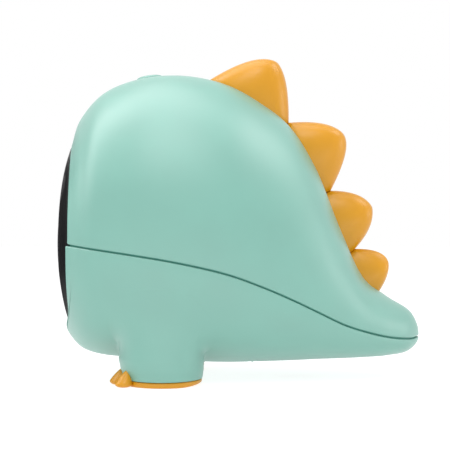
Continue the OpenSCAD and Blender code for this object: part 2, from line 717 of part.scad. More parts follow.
module wheel_gear() {
  color("white") difference() {
    union() {
      translate([0, 0, wheel_z]) slab_x(gear_x0, gear_x1) polygon(gear_outline(wheel_teeth));
      rod_x(gear_x0 - 1.5, gear_x1, 4.5, 0, wheel_z);
    }
    rod_x(gear_x0 - 3, gear_x1 + 1, shaft_r + 0.02, 0, wheel_z);
  }
}

module wheel_bush() {
  color("goldenrod") difference() {
    union() {
      rod_x(plate_x - 0.8, plate_x, shaft_r + 3.4, 0, wheel_z);
      rod_x(plate_x, plate_rear + 0.9, shaft_r + 2, 0, wheel_z);
    }
    rod_x(plate_x - 3, plate_rear + 4, shaft_r + run_gap, 0, wheel_z);
  }
}

module shaft_clip() {
  color("silver") difference() {
    rod_x(plate_rear + 1.3, plate_rear + 2.1, shaft_r + 1.8, 0, wheel_z);
    rod_x(plate_rear, plate_rear + 4, shaft_r + 0.02, 0, wheel_z);
  }
}

module drive_pinion() {
  color("white") difference() {
    translate([0, gear_reach, wheel_z]) slab_x(gear_x0, gear_x1) polygon(gear_outline(pinion_teeth));
    rod_x(gear_x0 - 1, gear_x1 + 1, 1.52, gear_reach, wheel_z);
  }
}

module pinion_shaft() {
  color("silver") rod_x(gear_x0 - 0.5, plate_rear + 4, 1.5, gear_reach, wheel_z);
}

module gear_motor_box() {
  color("goldenrod") difference() {
    block([plate_rear, gear_reach - 6, wheel_z - 5], [plate_rear + 9, gear_reach + 6, wheel_z + 5]);
    rod_x(plate_rear - 1, plate_rear + 5, 1.5 + run_gap, gear_reach, wheel_z);
    for (s = [-1, 1]) rod_x(plate_rear - 1, plate_rear + 3.4, 0.82, gear_reach + 4.4 * s, wheel_z);
  }
}

module gear_motor_can() {
  x0 = plate_rear + 9;
  color("silver") {
    intersection() {
      rod_x(x0, x0 + 15, 6, gear_reach, wheel_z);
      block([x0 - 1, gear_reach - 6, wheel_z - 5], [x0 + 16, gear_reach + 6, wheel_z + 5]);
    }
    rod_x(x0 + 15, x0 + 16.4, 2.2, gear_reach, wheel_z);
  }
}

module gear_motor_screws() {
  color("silver") for (s = [-1, 1]) translate([plate_x, gear_reach + 4.4 * s, wheel_z]) {
    rod_x(-0.8, 0, 1.5);
    rod_x(0, plate_t + 3, 0.8);
  }
}

module mechanism_plate() {
  h = duct_half + scroll_wall + fit_gap;
  w = scroll_half + 2 * scroll_wall + fit_gap;
  color("gray") difference() {
    union() {
      block([plate_x, -plate_half, plate_z0], [plate_rear, plate_half, plate_z1]);
      for (s = [-1, 1]) block([tab_x - 3.6, s * tab_y - 4, plate_z0], [plate_x, s * tab_y + 4, plate_z0 + 2]);
    }
    block([plate_x - 1, -w, mouth_z - h], [plate_rear + 1, w, mouth_z + h]);
    rod_x(plate_x - 1, plate_rear + 1, shaft_r + 2.02, 0, wheel_z);
    rod_x(plate_x - 1, plate_rear + 1, 2, gear_reach, wheel_z);
    for (s = [-1, 1]) {
      rod_x(plate_x - 1, plate_rear + 1, 0.9, gear_reach + 4.4 * s, wheel_z);
      rod_z(plate_z0 - 1, plate_z0 + 4, 1.2, tab_x, s * tab_y);
    }
  }
}

module plate_screws() {
  color("silver") for (s = [-1, 1]) translate([tab_x, s * tab_y, plate_z0 + 2])
    rotate([180, 0, 0]) screw(5, 1.05);
}

// Round scroll and straight duct in X and Z, grown by w
module scroll_outline(w, front) {
  translate([fan_x, fan_z]) circle(r = scroll_r + w, $fn = 72);
  translate([front, mouth_z - duct_half - w]) square([fan_x - front, 2 * duct_half + 2 * w]);
}

module ears(r) {
  for (a = [45, 135, 315]) translate([fan_x + ear_at * cos(a), fan_z + ear_at * sin(a)]) circle(r = r);
}

module blower_housing() {
  back = scroll_half + scroll_wall;
  color("slategray") difference() {
    union() {
      slab_y(-scroll_half, back) scroll_outline(scroll_wall, duct_end);
      slab_y(-scroll_half, back) ears(3);
      rod_y(back, back + 8, motor_r + 0.1 + scroll_wall, fan_x, fan_z);
      block([fan_x - 6.5, -3, box_top + 1], [fan_x - 1.5, 3, mouth_z - duct_half - scroll_wall / 2]);
      block([fan_x - 14, -5.5, box_top], [fan_x + 6, 5.5, box_top + 2]);
    }
    slab_y(-scroll_half - 1, scroll_half) scroll_outline(0, duct_end - 5);
    slab_y(-scroll_half - 1, 2) ears(0.95);
    rod_y(back, back + 9, motor_r + 0.1, fan_x, fan_z);
    rod_y(0, back + 1, 3.3, fan_x, fan_z);
    for (x = [fan_x - 10, fan_x + 2]) rod_z(box_top - 1, box_top + 3, 1.15, x);
  }
}

module blower_cover() {
  y1 = -scroll_half;
  color("slategray") difference() {
    slab_y(y1 - scroll_wall, y1) {
      scroll_outline(scroll_wall, duct_end);
      ears(3);
    }
    rod_y(y1 - 5, y1 + 5, inlet_r, fan_x, fan_z);
    slab_y(y1 - 5, y1 + 5) ears(1.15);
  }
}

module cover_screws() {
  color("silver") for (a = [45, 135, 315])
    translate([fan_x + ear_at * cos(a), -scroll_half - scroll_wall, fan_z + ear_at * sin(a)])
      rotate([-90, 0, 0]) screw(8, 0.92);
}

module blower_screws() {
  color("silver") for (x = [fan_x - 10, fan_x + 2]) translate([x, 0, box_top + 2])
    rotate([180, 0, 0]) screw(4.6, 1);
}

module blower_impeller() {
  y1 = scroll_half - 1;
  color("white") difference() {
    union() {
      rod_y(y1 - 1.4, y1, fan_r, fan_x, fan_z);
      rod_y(-y1 + 1, y1, 4.5, fan_x, fan_z);
      for (k = [0:blade_n - 1]) translate([fan_x, 0, fan_z]) rotate([0, 360 * k / blade_n, 0])
        translate([fan_r * 0.55, 0, 0]) rotate([0, 35, 0]) translate([-1, -y1, -0.6])
          cube([fan_r * 0.45, 2 * y1 - 1, 1.2]);
    }
    rod_y(-20, 20, 1.02, fan_x, fan_z);
  }
}

module fan_shaft() {
  color("silver") rod_y(-scroll_half + 2.5, scroll_half + scroll_wall + 6, 1, fan_x, fan_z);
}

module fan_motor() {
  y0 = scroll_half + scroll_wall;
  color("silver") difference() {
    union() {
      intersection() {
        rod_y(y0, y0 + 25, motor_r, fan_x, fan_z);
        block([fan_x - motor_r - 1, y0 - 1, fan_z - 7.7], [fan_x + motor_r + 1, y0 + 26, fan_z + 7.7]);
      }
      rod_y(y0 - 1.2, y0, 3, fan_x, fan_z);
      rod_y(y0 + 25, y0 + 26.5, 3, fan_x, fan_z);
    }
    rod_y(y0 - 3, y0 + 7, 1 + run_gap, fan_x, fan_z);
  }
}

// A round wire on a smooth line through a list of points
module wire(p, r = 0.7) {
  m = len(p) - 1;
  path = concat([2 * p[0] - p[1]], p, [2 * p[m] - p[m - 1]]);
  rings = [for (j = [0:5 * m])
    let (u = j / 5, d = spline(path, min(u + 0.02, m)) - spline(path, max(u - 0.02, 0)),
    t = d / norm(d), e = cross(t, [1, 0.2, 0]), s = e / norm(e), v = cross(t, s))
    [for (k = [0:7]) spline(path, u) + r * (s * cos(45 * k) + v * sin(45 * k))]];
  loft(rings);
}

module wiring() {
  board_z = back_z(button_x, 0) - 17.2;
  color("crimson") {
    wire([[ear_x - 1, -9, box_top + 0.8], [ear_x + 2, -18, box_top + 10], [ear_x + 3, -22, fan_z],
      [fan_x - 5, -20, board_z - 8], [button_x + 5, -9.5, board_z]]);
    wire([[ear_x - 1, 12, box_top + 0.8], [ear_x + 2, 26, box_top + 12], [fan_x + 4, 38, fan_z - 3],
      [fan_x + 4, scroll_half + scroll_wall + 25.2, fan_z - 3]]);
    wire([[button_x + 5, 9.5, board_z], [fan_x - 25, 23, fan_z + 18], [fan_x - 20, 25, fan_z - 12],
      [plate_rear + 28, 21, wheel_z + 9], [plate_rear + 27, gear_reach + 3, wheel_z + 2],
      [plate_rear + 24.2, gear_reach + 3, wheel_z + 2]]);
  }
}

upper_shell();
lower_shell();
front_panel();
outlet_ring();
left_eye();
right_eye();
dorsal_spike_1();
dorsal_spike_2();
dorsal_spike_3();
dorsal_spike_4();
left_foot();
right_foot();
power_button();
switch_board();
tact_switch();
board_screws();
tail_screw();
battery_door();
door_screw();
battery_box();
battery_box_screws();
cell_1();
cell_2();
cell_3();
cell_4();
battery_contacts();
solution_tank();
counterweights();
bubble_wheel();
wheel_shaft();
wheel_gear();
wheel_bush();
shaft_clip();
drive_pinion();
pinion_shaft();
gear_motor_box();
gear_motor_can();
gear_motor_screws();
mechanism_plate();
plate_screws();
blower_housing();
blower_cover();
cover_screws();
blower_screws();
blower_impeller();
fan_shaft();
fan_motor();
wiring();
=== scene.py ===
"""Dresses the bubble machine's frame: moulded mint body, black front, orange spikes and feet, inner works."""
import math

import bmesh
import bpy
import numpy as np
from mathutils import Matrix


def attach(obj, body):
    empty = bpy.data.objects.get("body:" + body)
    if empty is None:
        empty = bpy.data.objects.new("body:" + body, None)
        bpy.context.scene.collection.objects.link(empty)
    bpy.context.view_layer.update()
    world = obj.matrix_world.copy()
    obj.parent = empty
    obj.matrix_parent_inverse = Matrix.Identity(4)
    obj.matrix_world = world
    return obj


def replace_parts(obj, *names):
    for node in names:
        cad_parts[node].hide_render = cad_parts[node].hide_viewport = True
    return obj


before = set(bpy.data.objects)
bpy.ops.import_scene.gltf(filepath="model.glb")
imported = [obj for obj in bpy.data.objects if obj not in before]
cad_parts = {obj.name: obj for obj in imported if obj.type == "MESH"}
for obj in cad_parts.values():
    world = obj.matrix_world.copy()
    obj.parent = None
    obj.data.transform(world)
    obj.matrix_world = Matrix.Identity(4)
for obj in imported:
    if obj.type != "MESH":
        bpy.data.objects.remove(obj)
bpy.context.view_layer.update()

# Lower shell: the belly and tail half of the body, injection moulded in mint ABS with a fine spark finish.
# The two short legs are moulded with it; the upper shell meets it in an open seam line all round.
# Sizes are in millimetres until a mesh is written, which turns them into metres.
SEAM = np.array([[-86.8, 43.4, 70], [-80, 49.2, 69], [-71, 54, 67.7], [-51, 58.8, 64.8], [-29, 59.9, 61],
                 [-7, 58.3, 55.8], [11, 53.7, 49.2], [27, 48, 42.1], [40, 42.4, 35.7], [52, 36.5, 29.8],
                 [64, 30.2, 25.6], [77, 22.6, 22.3], [88.5, 13.6, 21], [94.4, 0, 21.5]])
BACK = np.array([[-88.4, 121.6], [-83.8, 135.8], [-70.7, 149.9], [-51, 157.3], [-29, 158.6], [-7, 153.9],
                 [11, 144.3], [27, 130.8], [40, 109.5], [52, 79.5], [64, 53.6], [77, 42.8], [90.1, 34.1],
                 [94.4, 22]])
BELLY = np.array([[-90.6, 30.2], [-85.8, 17.9], [-74, 12.3], [-51, 10.1], [-29, 8.6], [-7, 8.0], [11, 8.4],
                  [27, 8.9], [40, 9.5], [52, 9.9], [64, 10.4], [77, 11.3], [88.5, 13.8], [94.4, 21.5]])
CHIN_LEAD = np.array([-70.5, 41.6])
TAIL_U, TAIL_SOLID, TAIL_EASE = 12.94, 11.9, 0.9
ROUND_UP, ROUND_LOW = (2.25, 2.25), (2.0, 3.0)
WALL = 2.2
SEAM_GAP = 0.8
RIM_ROLL, SEAM_ROLL = 0.8, 0.7
RIM_PITCH = 11


def line_points(points, tail, u, lead=None):
    """Uniform Catmull-Rom curve: each stretch is a cubic whose end slopes come from the neighbour points."""
    p = np.vstack([2 * points[0] - points[1] if lead is None else lead, points, tail])
    k = np.minimum(np.floor(u), len(p) - 4).astype(int)
    t = (u - k)[..., None]
    a, b, c, d = p[k], p[k + 1], p[k + 2], p[k + 3]
    return 0.5 * (2 * b + (c - a) * t + (2 * a - 5 * b + 4 * c - d) * t**2 + (3 * b - a - 3 * c + d) * t**3)


def body_lines(u, up):
    """Seam curve and back or belly curve at each u, with slopes as differences a small step either way."""
    mirror = SEAM[-2] * [1, -1, 1]

    def end(v):
        """The back's curve for the upper half, the belly's for the lower one."""
        return line_points(BACK, BELLY[-2], v) if up > 0 else line_points(BELLY, BACK[-2], v, CHIN_LEAD)

    seam = line_points(SEAM, mirror, u)
    edge = end(u)
    step = 0.02
    seam_way = line_points(SEAM, mirror, u + step) - line_points(SEAM, mirror, u - step)
    edge_way = end(u + step) - end(u - step)
    return seam, edge, seam_way, edge_way


def pull_power(u, up):
    """How late a section bends from the seam's x to its crown's: a power easing from 6 at the rim to 2."""
    ease = np.clip(u / 0.5 if up < 0 else u - 1.2, 0, 1)
    return 6 - 4 * ease**2 * (3 - 2 * ease)


def section_points(u, a, up, inset):
    """Half section from seam to seam as a superellipse, its crown pulled to the back or belly line."""
    seam, edge, sw, ew = body_lines(u, up)
    wide, tall = ROUND_UP if up > 0 else ROUND_LOW
    sw2 = sw[..., :2] / np.linalg.norm(sw[..., :2], axis=-1, keepdims=True)
    ew = ew / np.linalg.norm(ew, axis=-1, keepdims=True)
    sx = seam[..., 0] + inset * sw2[..., 1]
    sy = np.maximum(seam[..., 1] - inset * sw2[..., 0], 0.02)
    ex = edge[..., 0] + up * inset * ew[..., 1]
    ez = edge[..., 1] - up * inset * ew[..., 0]
    zs = seam[..., 2] + up * SEAM_GAP / 2
    c, s = np.cos(a), np.maximum(np.sin(a), 0)
    x = sx + (ex - sx) * s**pull_power(u, up)
    y = up * np.sign(c) * sy * np.abs(c)**(2 / wide)
    z = zs + (ez - zs) * s**(2 / tall)
    return np.stack([x, y, z], -1)


def half_shell(up, rows, columns):
    """Closed half body: superellipse rows along the length, rolled edges at rim and seam, an inner wall."""
    near = np.array([0, 0.08, 0.22, 0.42, 0.65, 0.9]) / RIM_PITCH
    u = np.concatenate([near, np.linspace(0.11, 11.6, rows), np.linspace(11.65, TAIL_U, 26)])[:, None]
    seam, edge, _, _ = body_lines(u, up)
    rise = np.abs(edge[..., 1] - seam[..., 2] - up * SEAM_GAP / 2)
    roll = np.minimum(SEAM_ROLL, np.minimum(0.3 * rise, 0.3 * seam[..., 1]))
    rim = np.clip(RIM_ROLL - u * RIM_PITCH, 0, RIM_ROLL)
    rim = RIM_ROLL - np.sqrt(np.maximum(RIM_ROLL**2 - rim**2, 0))
    tall = (ROUND_UP if up > 0 else ROUND_LOW)[1]
    start = np.arcsin(np.clip(roll / rise, 0, 0.9)**(tall / 2))
    a = start + (math.pi - 2 * start) * np.linspace(0, 1, columns)[None, :]
    outer = section_points(u + 0 * a, a, up, rim + 0 * a)
    turn = np.linspace(0, math.pi / 2, 6)[None, :-1]
    inset = rim + roll * (1 - np.sin(turn))
    lip = section_points(u + 0 * turn, 0 * turn, up, inset)
    lip[..., 2] += up * roll * (1 - np.cos(turn))
    lip_far = section_points(u + 0 * turn, 0 * turn + math.pi, up, inset)
    lip_far[..., 2] = lip[..., 2]
    skin = np.concatenate([lip, outer, lip_far[:, ::-1]], axis=1)
    if up < 0:
        skin[..., 0] -= 0.9 * np.exp(-(u * RIM_PITCH / 3)**2) * np.abs(skin[..., 1]) / seam[..., 1]
    m = skin.shape[1]
    wall = np.minimum(WALL, 0.45 * seam[..., 1])
    fill = np.clip((TAIL_SOLID - u) / TAIL_EASE, 0, 1)
    b = math.pi * np.linspace(1, 0, m)[None, :]
    inner = section_points(u + 0 * b, b, up, wall + 0 * b)
    floor = seam[..., 2] + up * SEAM_GAP / 2
    inner[..., 2] = floor + (inner[..., 2] - floor) * fill
    grid = np.concatenate([skin, inner], axis=1)
    return grid.reshape(-1, 3), shell_faces(len(grid), m)


def ring_faces(rows, columns, row_wrap=False):
    """Quads between neighbouring rows of a grid whose columns close on themselves."""
    count = rows if row_wrap else rows - 1
    i = np.arange(count)[:, None]
    j = np.arange(columns)[None, :]
    r = (i + 1) % rows
    k = (j + 1) % columns
    return np.stack([i * columns + j, r * columns + j, r * columns + k, i * columns + k], -1).reshape(-1, 4)


def shell_faces(rows, columns):
    """Faces of rows that run out on one surface and back on the other, with both end rows closed."""
    around = 2 * columns
    i = np.arange(columns - 1)
    cap = np.stack([i, i + 1, around - 2 - i, around - 1 - i], 1)
    return np.vstack([ring_faces(rows, around), cap, cap[:, ::-1] + (rows - 1) * around])


def mesh_object(name, points, faces):
    """Millimetre points and faces as an object in metres, put into the scene."""
    mesh = bpy.data.meshes.new(name)
    mesh.from_pydata((np.asarray(points) * 0.001).tolist(), [], [list(f) for f in faces])
    obj = bpy.data.objects.new(name, mesh)
    bpy.context.scene.collection.objects.link(obj)
    return obj


def piece(name, points, faces, body="casing", sharp=35):
    """A named piece on its body: faces outward, smooth but for edges past an angle in degrees."""
    obj = mesh_object(name, points, faces)
    obj.data.update()
    obj.data.validate()
    tidy_mesh(obj)
    obj.data.shade_smooth()
    obj.data.set_sharp_from_angle(angle=math.radians(sharp))
    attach(obj, body)
    return obj


def tidy_mesh(obj):
    """Joins points that coincide and turns all faces outward."""
    bm = bmesh.new()
    bm.from_mesh(obj.data)
    bmesh.ops.remove_doubles(bm, verts=bm.verts, dist=1e-7)
    bmesh.ops.dissolve_degenerate(bm, edges=bm.edges, dist=1e-8)
    bmesh.ops.recalc_face_normals(bm, faces=bm.faces)
    bm.to_mesh(obj.data)
    bm.free()


def carve(obj, tool, operation="DIFFERENCE"):
    """Applies a Boolean with a tool object and removes the tool."""
    mod = obj.modifiers.new("carve", "BOOLEAN")
    mod.operation = operation
    mod.solver = "MANIFOLD"
    mod.object = tool
    bpy.context.view_layer.update()
    done = bpy.data.meshes.new_from_object(obj.evaluated_get(bpy.context.evaluated_depsgraph_get()))
    obj.modifiers.clear()
    old = obj.data
    done.name = old.name
    obj.data = done
    bpy.data.meshes.remove(old)
    bpy.data.meshes.remove(tool.data)


def box_mesh(low, high):
    """Six faces of a block between two corners."""
    x, y, z = np.meshgrid([0, 1], [0, 1], [0, 1], indexing="ij")
    corner = np.stack([x, y, z], -1).reshape(-1, 3)
    points = np.asarray(low) + corner * (np.asarray(high) - np.asarray(low))
    return points, [(0, 1, 3, 2), (4, 6, 7, 5), (0, 4, 5, 1), (2, 3, 7, 6), (0, 2, 6, 4), (1, 5, 7, 3)]


def tool_object(points, faces):
    """A temporary solid for one Boolean."""
    obj = mesh_object("tool", points, faces)
    tidy_mesh(obj)
    return obj


def coat(obj, material, sharp):
    """Gives a carved piece its one material, smooth but for edges past an angle in degrees."""
    obj.data.shade_smooth()
    obj.data.set_sharp_from_angle(angle=math.radians(sharp))
    obj.data.materials.clear()
    obj.data.materials.append(material)


LEG_X, LEG_Y, LEG_END, LEG_CORE = -39.0, 37.5, 3.7, 48.0
LEG_WALL, ANKLE_DROP, SUNK = 2.0, 0.55, 0.12


def leg_radius(z):
    """Leg radius against height: a cone from the ankle to the calf, then easing inward into the belly."""
    calf = np.interp(z, [LEG_END, 8, 13, 54.2], [19.7, 20.8, 21.4, 20.0])
    return calf - 0.03 * np.maximum(z - 44, 0)**2


def fillet(p):
    """Width of the blend round the leg: narrow under the belly, wide where the leg runs up into the flank."""
    return np.interp(p[..., 1], [39, 53], [2.4, 14])


def belly_field(p):
    """Signed distance to the belly, near enough: the superellipse's value over the length of its slope."""
    u = np.linspace(0.6, 8, 400)
    seam, edge, _, _ = body_lines(u, -1)
    wide, tall = ROUND_LOW

    def value(x, y, z):
        """Superellipse value at a point, its section found by x between the seam line and the belly line."""
        us = np.interp(x, seam[:, 0], u)
        ue = np.interp(x, edge[:, 0], u)
        share = np.clip(1 - (np.abs(y) / np.interp(us, u, seam[:, 1]))**wide, 0, 1)**(pull_power(us, -1) / 2)
        at = us + (ue - us) * share
        sy = np.interp(at, u, seam[:, 1])
        zs = np.interp(at, u, seam[:, 2]) - SEAM_GAP / 2
        zl = np.interp(at, u, edge[:, 1])
        return (np.abs(y) / sy)**wide + np.maximum((zs - z) / (zs - zl), 0)**tall - 1

    x, y, z = np.moveaxis(p, -1, 0)
    h = 0.05
    g = np.stack([value(x + h, y, z) - value(x - h, y, z), value(x, y + h, z) - value(x, y - h, z),
                  value(x, y, z + h) - value(x, y, z - h)]) / (2 * h)
    return value(x, y, z) / np.maximum(np.linalg.norm(g, axis=0), 1e-4)


def leg_field(p):
    """Level distance outside the leg's cone; going up, its axis leans a little forward and more inward."""
    x = LEG_X - np.interp(p[..., 2], [LEG_END, 13], [0, 1.0])
    y = LEG_Y - 0.0058 * np.maximum(p[..., 2] - 4, 0)**2
    return np.hypot(p[..., 0] - x, p[..., 1] - y) - leg_radius(p[..., 2])


def leg_patch(side):
    """Leg and fillet, seen from a point inside the body: rays end on the smooth union of leg and belly."""
    core = np.array([LEG_X, LEG_Y, LEG_CORE])
    turn = np.linspace(0, 2 * math.pi, 192, endpoint=False)[None, :]

    def ray(tilt):
        """Unit vector leaning from straight down by the tilt, one for every turn."""
        return np.stack([np.sin(tilt) * np.cos(turn), np.sin(tilt) * np.sin(turn), -np.cos(tilt)], -1)

    def reach(way, field):
        """Distance along each ray to the field's zero, by halving."""
        lo, hi = np.full(way.shape[:-1], 4.0), np.full(way.shape[:-1], 75.0)
        for _ in range(34):
            mid = (lo + hi) / 2
            inside = field(core + way * mid[..., None]) < 0
            lo, hi = np.where(inside, mid, lo), np.where(inside, hi, mid)
        return (lo + hi) / 2

    def union(p):
        """Smooth minimum of belly and leg: the lower of the two, less a parabola where they are close."""
        a, b = belly_field(p), leg_field(p)
        k = fillet(p)
        return np.minimum(a, b) - np.maximum(k - np.abs(a - b), 0)**2 / (4 * k)

    low_tilt = np.arctan2(leg_radius(LEG_END), LEG_CORE - LEG_END)
    lo, hi = np.full(turn.shape, low_tilt), np.full(turn.shape, 2.2)
    for _ in range(24):
        mid = (lo + hi) / 2
        way = ray(mid)
        edge = core + way * reach(way, belly_field)[..., None]
        close = leg_field(edge) < fillet(edge) * 1.02
        lo, hi = np.where(close, mid, lo), np.where(close, hi, mid)
    tilt = low_tilt + (lo - low_tilt) * np.linspace(0, 1, 60)[:, None]
    way = ray(tilt)
    r = reach(way, union)
    end = LEG_END - ANKLE_DROP * np.maximum(np.sin(turn[0]), 0)
    r[0] = (LEG_CORE - end) / -way[0, :, 2]
    r[-1] -= SUNK
    outer = core + way * r[..., None]
    inner = core + way * (r - LEG_WALL)[..., None]
    inner[0, :, 2] = end
    grid = np.concatenate([outer, inner[::-1]])
    grid[..., 1] *= side
    return grid.reshape(-1, 3), ring_faces(*grid.shape[:2], row_wrap=True)


def lathe(profile, around=96):
    """Turned solid: each profile point (radius, height) is carried round the vertical axis."""
    p = np.asarray(profile, float)
    t = np.linspace(0, 2 * math.pi, around, endpoint=False)[None, :]
    grid = np.stack([p[:, :1] * np.cos(t), p[:, :1] * np.sin(t), p[:, 1:] + 0 * t], -1)
    return grid.reshape(-1, 3), ring_faces(len(p), around)


lower = piece("lower_shell_skin", *half_shell(-1, rows=190, columns=104))
for side in (-1, 1):
    carve(lower, tool_object(*leg_patch(side)), "UNION")


# Bosses inside carry the plate, the battery box and the tail screw, and ribs the tank and weights.
# A bar takes the door's screw. The belly is open for the door, five air slots and the tail screw.
def gathered(*solids):
    """Solids that stand apart, put together as one list of points and one of faces."""
    points, faces, count = [], [], 0
    for p, f in solids:
        points.append(np.asarray(p))
        faces += [[i + count for i in face] for face in f]
        count += len(p)
    return np.vstack(points), faces


def post(x, y, *profile):
    """Turned solid on a vertical axis, from (radius, height) pairs between its two ends."""
    points, faces = lathe([[0, profile[0][1]], *profile, [0, profile[-1][1]]], 48)
    return points + [x, y, 0], faces


DOOR_X0, DOOR_X1, DOOR_Y = -54.2, 8.2, 15.0
DOOR_GAP = 0.4
DOOR_SCREW_X, TAIL_SCREW_X = -51, 71
HINGE_X, HINGE_Z = 6.2, 9.81
SLOT_X, SLOT_STEP, SLOT_WIDE, SLOT_Y = 20.6, 5, 2.4, 11
bosses = [post(x, side * y, (r, low), (r, top)) for side in (-1, 1)
          for x, y, r, low, top in ((-55.1, 17.5, 3.4, 13.4, 15.8), (0, 20.6, 3.2, 11.4, 13.8))]
ribs = [box_mesh([x0, side * y - 1, low], [x1, side * y + 1, top]) for side in (-1, 1)
        for x0, x1, y, low, top in ((-73, -63, 18.6, 15.6, 20.75), (-73, -63, 10, 13.9, 16.78),
                                    (-83.4, -81.2, 10, 18.2, 38.95))]
tail_post = post(TAIL_SCREW_X, 0, (4.4, 11.5), (4.4, 23.1))
carve(lower, tool_object(*gathered(*bosses, *ribs, tail_post)), "UNION")
slots = [box_mesh([x, -SLOT_Y, 2], [x + SLOT_WIDE, SLOT_Y, 16])
         for x in (SLOT_X + SLOT_STEP * k for k in range(5))]
door_hole = box_mesh([DOOR_X0 - DOOR_GAP, -DOOR_Y - DOOR_GAP, 2], [DOOR_X1 + DOOR_GAP, DOOR_Y + DOOR_GAP, 16])
tail_bore = post(TAIL_SCREW_X, 0, (3, 2), (3, 15.6), (1.6, 15.6), (1.6, 30))
carve(lower, tool_object(*gathered(*slots, door_hole, tail_bore)))
knuckles = [box_mesh([HINGE_X - 1.6, y - 1.1, 9.3], [DOOR_X1 + 2, y + 1.1, 11.5]) for y in (-12.6, 12.6)]
bar = box_mesh([DOOR_SCREW_X - 3, -18, 12.3], [DOOR_SCREW_X + 3, 18, 14.3])
carve(lower, tool_object(*gathered(bar, *knuckles)), "UNION")
carve(lower, tool_object(*post(DOOR_SCREW_X, 0, (1.6, 5), (1.6, 30))))


def moulded(name, colour, gloss=0.42, drift=0.03, grain=0.012, shine=0.5, skin=0.0):
    """Moulded plastic: one colour with a faint drift, a fine grain, slightly uneven gloss, a clear skin."""
    mat = bpy.data.materials.new(name)
    mat.use_nodes = True
    tree = mat.node_tree
    shader = tree.nodes["Principled BSDF"]
    shader.inputs["Specular IOR Level"].default_value = shine
    shader.inputs["Coat Weight"].default_value = skin
    shader.inputs["Coat IOR"].default_value = 1.6
    where = tree.nodes.new("ShaderNodeTexCoord")
    cloud = tree.nodes.new("ShaderNodeTexNoise")
    cloud.inputs["Scale"].default_value = 45
    cloud.inputs["Detail"].default_value = 4
    tint = tree.nodes.new("ShaderNodeValToRGB")
    tint.color_ramp.elements[0].position = 0.3
    tint.color_ramp.elements[1].position = 0.7
    tint.color_ramp.elements[0].color = [c * (1 - drift) for c in colour] + [1]
    tint.color_ramp.elements[1].color = [min(c * (1 + drift), 1) for c in colour] + [1]
    speck = tree.nodes.new("ShaderNodeTexNoise")
    speck.inputs["Scale"].default_value = 2600
    speck.inputs["Detail"].default_value = 2
    bump = tree.nodes.new("ShaderNodeBump")
    bump.inputs["Strength"].default_value = 0.35
    bump.inputs["Distance"].default_value = grain * 0.001
    sheen = tree.nodes.new("ShaderNodeMapRange")
    sheen.inputs["To Min"].default_value = gloss - 0.06
    sheen.inputs["To Max"].default_value = gloss + 0.06
    link = tree.links.new
    link(where.outputs["Object"], cloud.inputs["Vector"])
    link(where.outputs["Object"], speck.inputs["Vector"])
    link(cloud.outputs["Fac"], tint.inputs["Fac"])
    link(tint.outputs["Color"], shader.inputs["Base Color"])
    link(cloud.outputs["Fac"], sheen.inputs["Value"])
    link(sheen.outputs["Result"], shader.inputs["Roughness"])
    link(sheen.outputs["Result"], shader.inputs["Coat Roughness"])
    link(speck.outputs["Fac"], bump.inputs["Height"])
    link(bump.outputs["Normal"], shader.inputs["Normal"])
    return mat


mint = moulded("mint_abs", (0.126, 0.370, 0.299), gloss=0.45, shine=1.0, skin=1.0)
coat(lower, mint, sharp=38)
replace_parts(lower, "lower_shell")


# Seam tongue: a low step along the lower shell's edge inside the joint, in the same plastic as the shell.
# It shuts off the view into the casing; its colour is painted shade, a darker teal, so the open seam reads as
# a dark teal line.
def tongue_points():
    """Strip along the seam: a small oblong section carried down one side, round the tail and up the other."""
    u = np.linspace(0.1, 12.6, 200)
    seam, _, way, _ = body_lines(u, 1)
    way = way[:, :2] / np.linalg.norm(way[:, :2], axis=1, keepdims=True)
    rows = []
    for inset, rise in ((1.3, -0.5), (1.3, 0.5), (2.1, 0.5), (2.1, -0.5)):
        x, y = seam[:, 0] + inset * way[:, 1], seam[:, 1] - inset * way[:, 0]
        side = np.stack([x, y, seam[:, 2] + rise], 1)
        rows.append(np.vstack([side, (side * [1, -1, 1])[::-1]]))
    grid = np.stack(rows, 1)
    end = len(grid) * 4
    caps = [[0, 1, 2, 3], [end - 4, end - 3, end - 2, end - 1]]
    return grid.reshape(-1, 3), np.vstack([ring_faces(len(grid), 4), caps])


tongue = piece("seam_tongue", *tongue_points())
# Painted shade: the darker teal stands in for the shadow that falls into the seam's groove, not the mint of
# the moulding.
tongue.data.materials.append(moulded("seam_painted_shade_teal", (0.05, 0.24, 0.19), gloss=0.5))


# Feet: orange moulded soles that plug into the legs, each with three short claws round its front.
# The sole is a turned disc with a rolled lower edge; the claws rise from it against the ankle.
SOLE_R = 19.4
CLAW_TURNS = (180, 148, 212)
CLAW_AT, CLAW_LONG, CLAW_WIDE, CLAW_LEAN = 22.6, 4.3, 4.5, 2.2
CLAW_LOW, CLAW_TALL = 1.9, 6.6


def claw(angle, side):
    """Claw: a blunt cone narrowing upward against the ankle, its ring a rounded wedge, its underside flat."""
    lat = np.linspace(-math.pi / 2, math.pi / 2, 48)[:, None]
    lon = np.linspace(0, 2 * math.pi, 72, endpoint=False)[None, :]
    rise = np.maximum(np.sin(lat), 0)
    ring = np.where(lat > 0, (1 - rise**1.25)**0.72, np.maximum(np.cos(lat), 0)**0.7)
    out = CLAW_AT + CLAW_LONG * ring * np.cos(lon) - CLAW_LEAN * rise
    across = CLAW_WIDE * ring * np.sin(lon) * (1 - 0.12 * np.cos(lon))
    up = CLAW_LOW + np.where(lat > 0, CLAW_TALL, CLAW_LOW) * np.sin(lat) + 0 * lon
    a = math.radians(angle)
    x = LEG_X + out * math.cos(a) - across * math.sin(a)
    y = side * (LEG_Y + out * math.sin(a) + across * math.cos(a))
    return np.stack([x, y, up], -1).reshape(-1, 3), ring_faces(48, 72)


